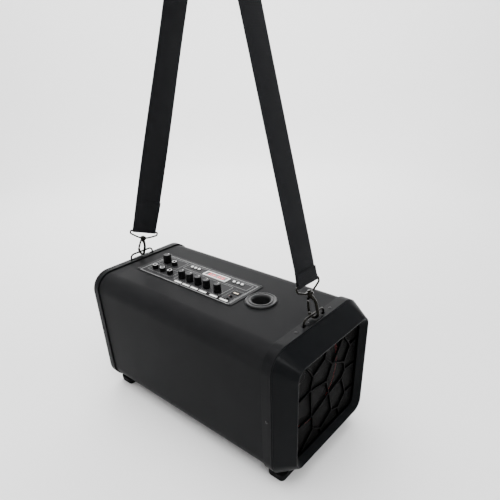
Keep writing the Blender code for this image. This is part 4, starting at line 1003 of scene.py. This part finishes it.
def make_strap(rear, front):
    """The webbing as one swept sheet, with its length and width as coordinates for the weave."""
    stations = strap_stations(rear, front)
    t = WEB_HALF_T
    w = WEB_HALF_W
    section = [(-w + 0.0006, -t), (-w, -t * 0.4), (-w, t * 0.4), (-w + 0.0006, t), (0.0, t), (w - 0.0006, t),
               (w, t * 0.4), (w, -t * 0.4), (w - 0.0006, -t), (0.0, -t)]
    bm = bmesh.new()
    cloth = bm.loops.layers.uv.new("cloth")
    spot = {}
    rings = []
    length = 0.0
    last = None
    for centre, across, normal in stations:
        if last is not None:
            length += (centre - last).length
        last = centre
        ring = []
        for a, b in section:
            vert = bm.verts.new(centre + across * a + normal * b)
            spot[vert] = (length, a)
            ring.append(vert)
        rings.append(ring)
    skin(bm, rings)
    for face in bm.faces:
        for corner in face.loops:
            corner[cloth].uv = spot[corner.vert]
    web = piece("shoulder_webbing", bm, WEB, ["strap_webbing"], "strap", angle=60.0)

    thread = bmesh.new()
    for leg in (rear, front):
        for u in leg.stitch_rows:
            for k in range(-6, 7):
                for face in (3 * WEB_HALF_T + 0.0001, -WEB_HALF_T):
                    if u - BAR_U < 0.030 and face < 0:
                        face = -0.0027 * (1 - eased((u - BAR_U) / 0.030)) - WEB_HALF_T
                    middle = leg.at(0.0, u, k * 0.0036) + leg.normal * face
                    ends = [middle + leg.w * s for s in (-0.0014, -0.0009, 0.0009, 0.0014)]
                    tube(ends, [0.00012, 0.0003, 0.0003, 0.00012], 6, side=leg.u, bm=thread)
    piece("strap_stitches", thread, THREAD, body="strap")


# ---------------------------------------------------------------- inner pieces


def dress_inner():
    """CAD nodes that stay as they are take a finish of their own."""
    finishes = {
        "rear_panel": LEATHERETTE, "front_baffle": BOARD, "woofer_basket": BASKET, "woofer_magnet": MAGNET,
        "voice_coil": COPPER, "spider": SPIDER, "amplifier_board": CIRCUIT, "control_board": CIRCUIT,
        "battery_pack": BATTERY, "battery_bracket": MAGNET,
    }
    for name, mat in finishes.items():
        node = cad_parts[name]
        node.data.materials.clear()
        node.data.materials.append(mat)


# ---------------------------------------------------------------- studio and camera


def make_studio():
    """A round pale cove that is floor and backdrop in one, and soft lights."""
    flat = 2.4
    bend = 1.2
    wall = 3.4
    profile = [(0.0, 0.0), (flat, 0.0)] + [(flat + a, bend + b) for a, b in arc((0.0, 0.0), bend, -90, 0, 16)]
    profile.append((flat + bend, wall))
    bm = bmesh.new()
    steps = 72
    middle = bm.verts.new((0.0, 0.0, 0.0))
    rings = []
    for radius, height in profile[1:]:
        turns = [2 * math.pi * i / steps for i in range(steps)]
        rings.append([bm.verts.new((radius * math.cos(t), radius * math.sin(t), height)) for t in turns])
    for i in range(steps):
        bm.faces.new((middle, rings[0][i], rings[0][(i + 1) % steps]))
    skin(bm, rings, capped=False)
    mesh = mesh_of(bm)
    mesh.materials.append(surface("backdrop", (0.86, 0.86, 0.86), 0.9, spread=0.01, patch=1.0, specular=0.1))
    mesh.shade_smooth()
    add("backdrop", mesh)

    world = bpy.data.worlds.new("studio")
    world.use_nodes = True
    put(world.node_tree.nodes["Background"], Color=(1.0, 1.0, 1.0, 1.0), Strength=0.4)
    bpy.context.scene.world = world
    for name, place, aim, size, power in (
            ("overhead", (0.10, -0.10, 2.50), (0.0, 0.0, 0.15), (2.4, 2.4), 100.0),
            ("wall_wash", (-1.00, 1.20, 2.30), (-2.60, 2.90, 0.90), (2.0, 1.0), 110.0),
            ("back_soft", (-1.50, 1.60, 1.60), (0.0, 0.0, 0.25), (1.8, 1.1), 26.0),
            ("left_soft", (-1.30, -0.05, 2.05), (0.0, 0.0, 0.25), (1.4, 1.2), 24.0),
            ("key", (1.28, -0.87, 1.74), (0.2, -0.1, 0.26), (0.30, 0.30), 12.0)):
        data = bpy.data.lights.new(name, "AREA")
        data.shape = "RECTANGLE"
        data.size, data.size_y = size
        data.energy = power
        light = add(name, data)
        light.location = place
        light.rotation_mode = "QUATERNION"
        light.rotation_quaternion = (Vector(aim) - Vector(place)).to_track_quat("-Z", "Y")
        light.visible_camera = False


def make_camera():
    """The photograph's viewing angle, from a fit to the cabinet's edges."""
    flat = math.cos(CAMERA_PITCH)
    forward = Vector((-math.sin(CAMERA_YAW) * flat, math.cos(CAMERA_YAW) * flat, math.sin(CAMERA_PITCH)))
    level = forward.cross(Vector((0, 0, 1))).normalized()
    upright = level.cross(forward)
    right = level * math.cos(CAMERA_ROLL) + upright * math.sin(CAMERA_ROLL)
    up = upright * math.cos(CAMERA_ROLL) - level * math.sin(CAMERA_ROLL)
    data = bpy.data.cameras.new("camera")
    data.sensor_width = 36.0
    data.lens = CAMERA_LENS
    data.shift_y = CAMERA_SHIFT
    data.clip_start = 0.01
    camera = add("camera", data)
    facing = Matrix((right, up, -forward)).transposed().to_4x4()
    camera.matrix_world = Matrix.Translation(CAMERA_PLACE) @ facing
    bpy.context.scene.camera = camera


def main():
    make_cabinet()
    make_frames()
    grille_half = make_bezel()
    make_body_screws()
    make_grille(grille_half)
    make_woofer()
    make_port()
    make_panel()
    make_controls()
    make_display()
    make_feet()
    make_rings()
    legs = [Leg(0), Leg(1)]
    for leg in legs:
        make_hook(leg)
        make_buckle(leg)
    make_strap(*legs)
    dress_inner()
    make_studio()
    make_camera()


main()
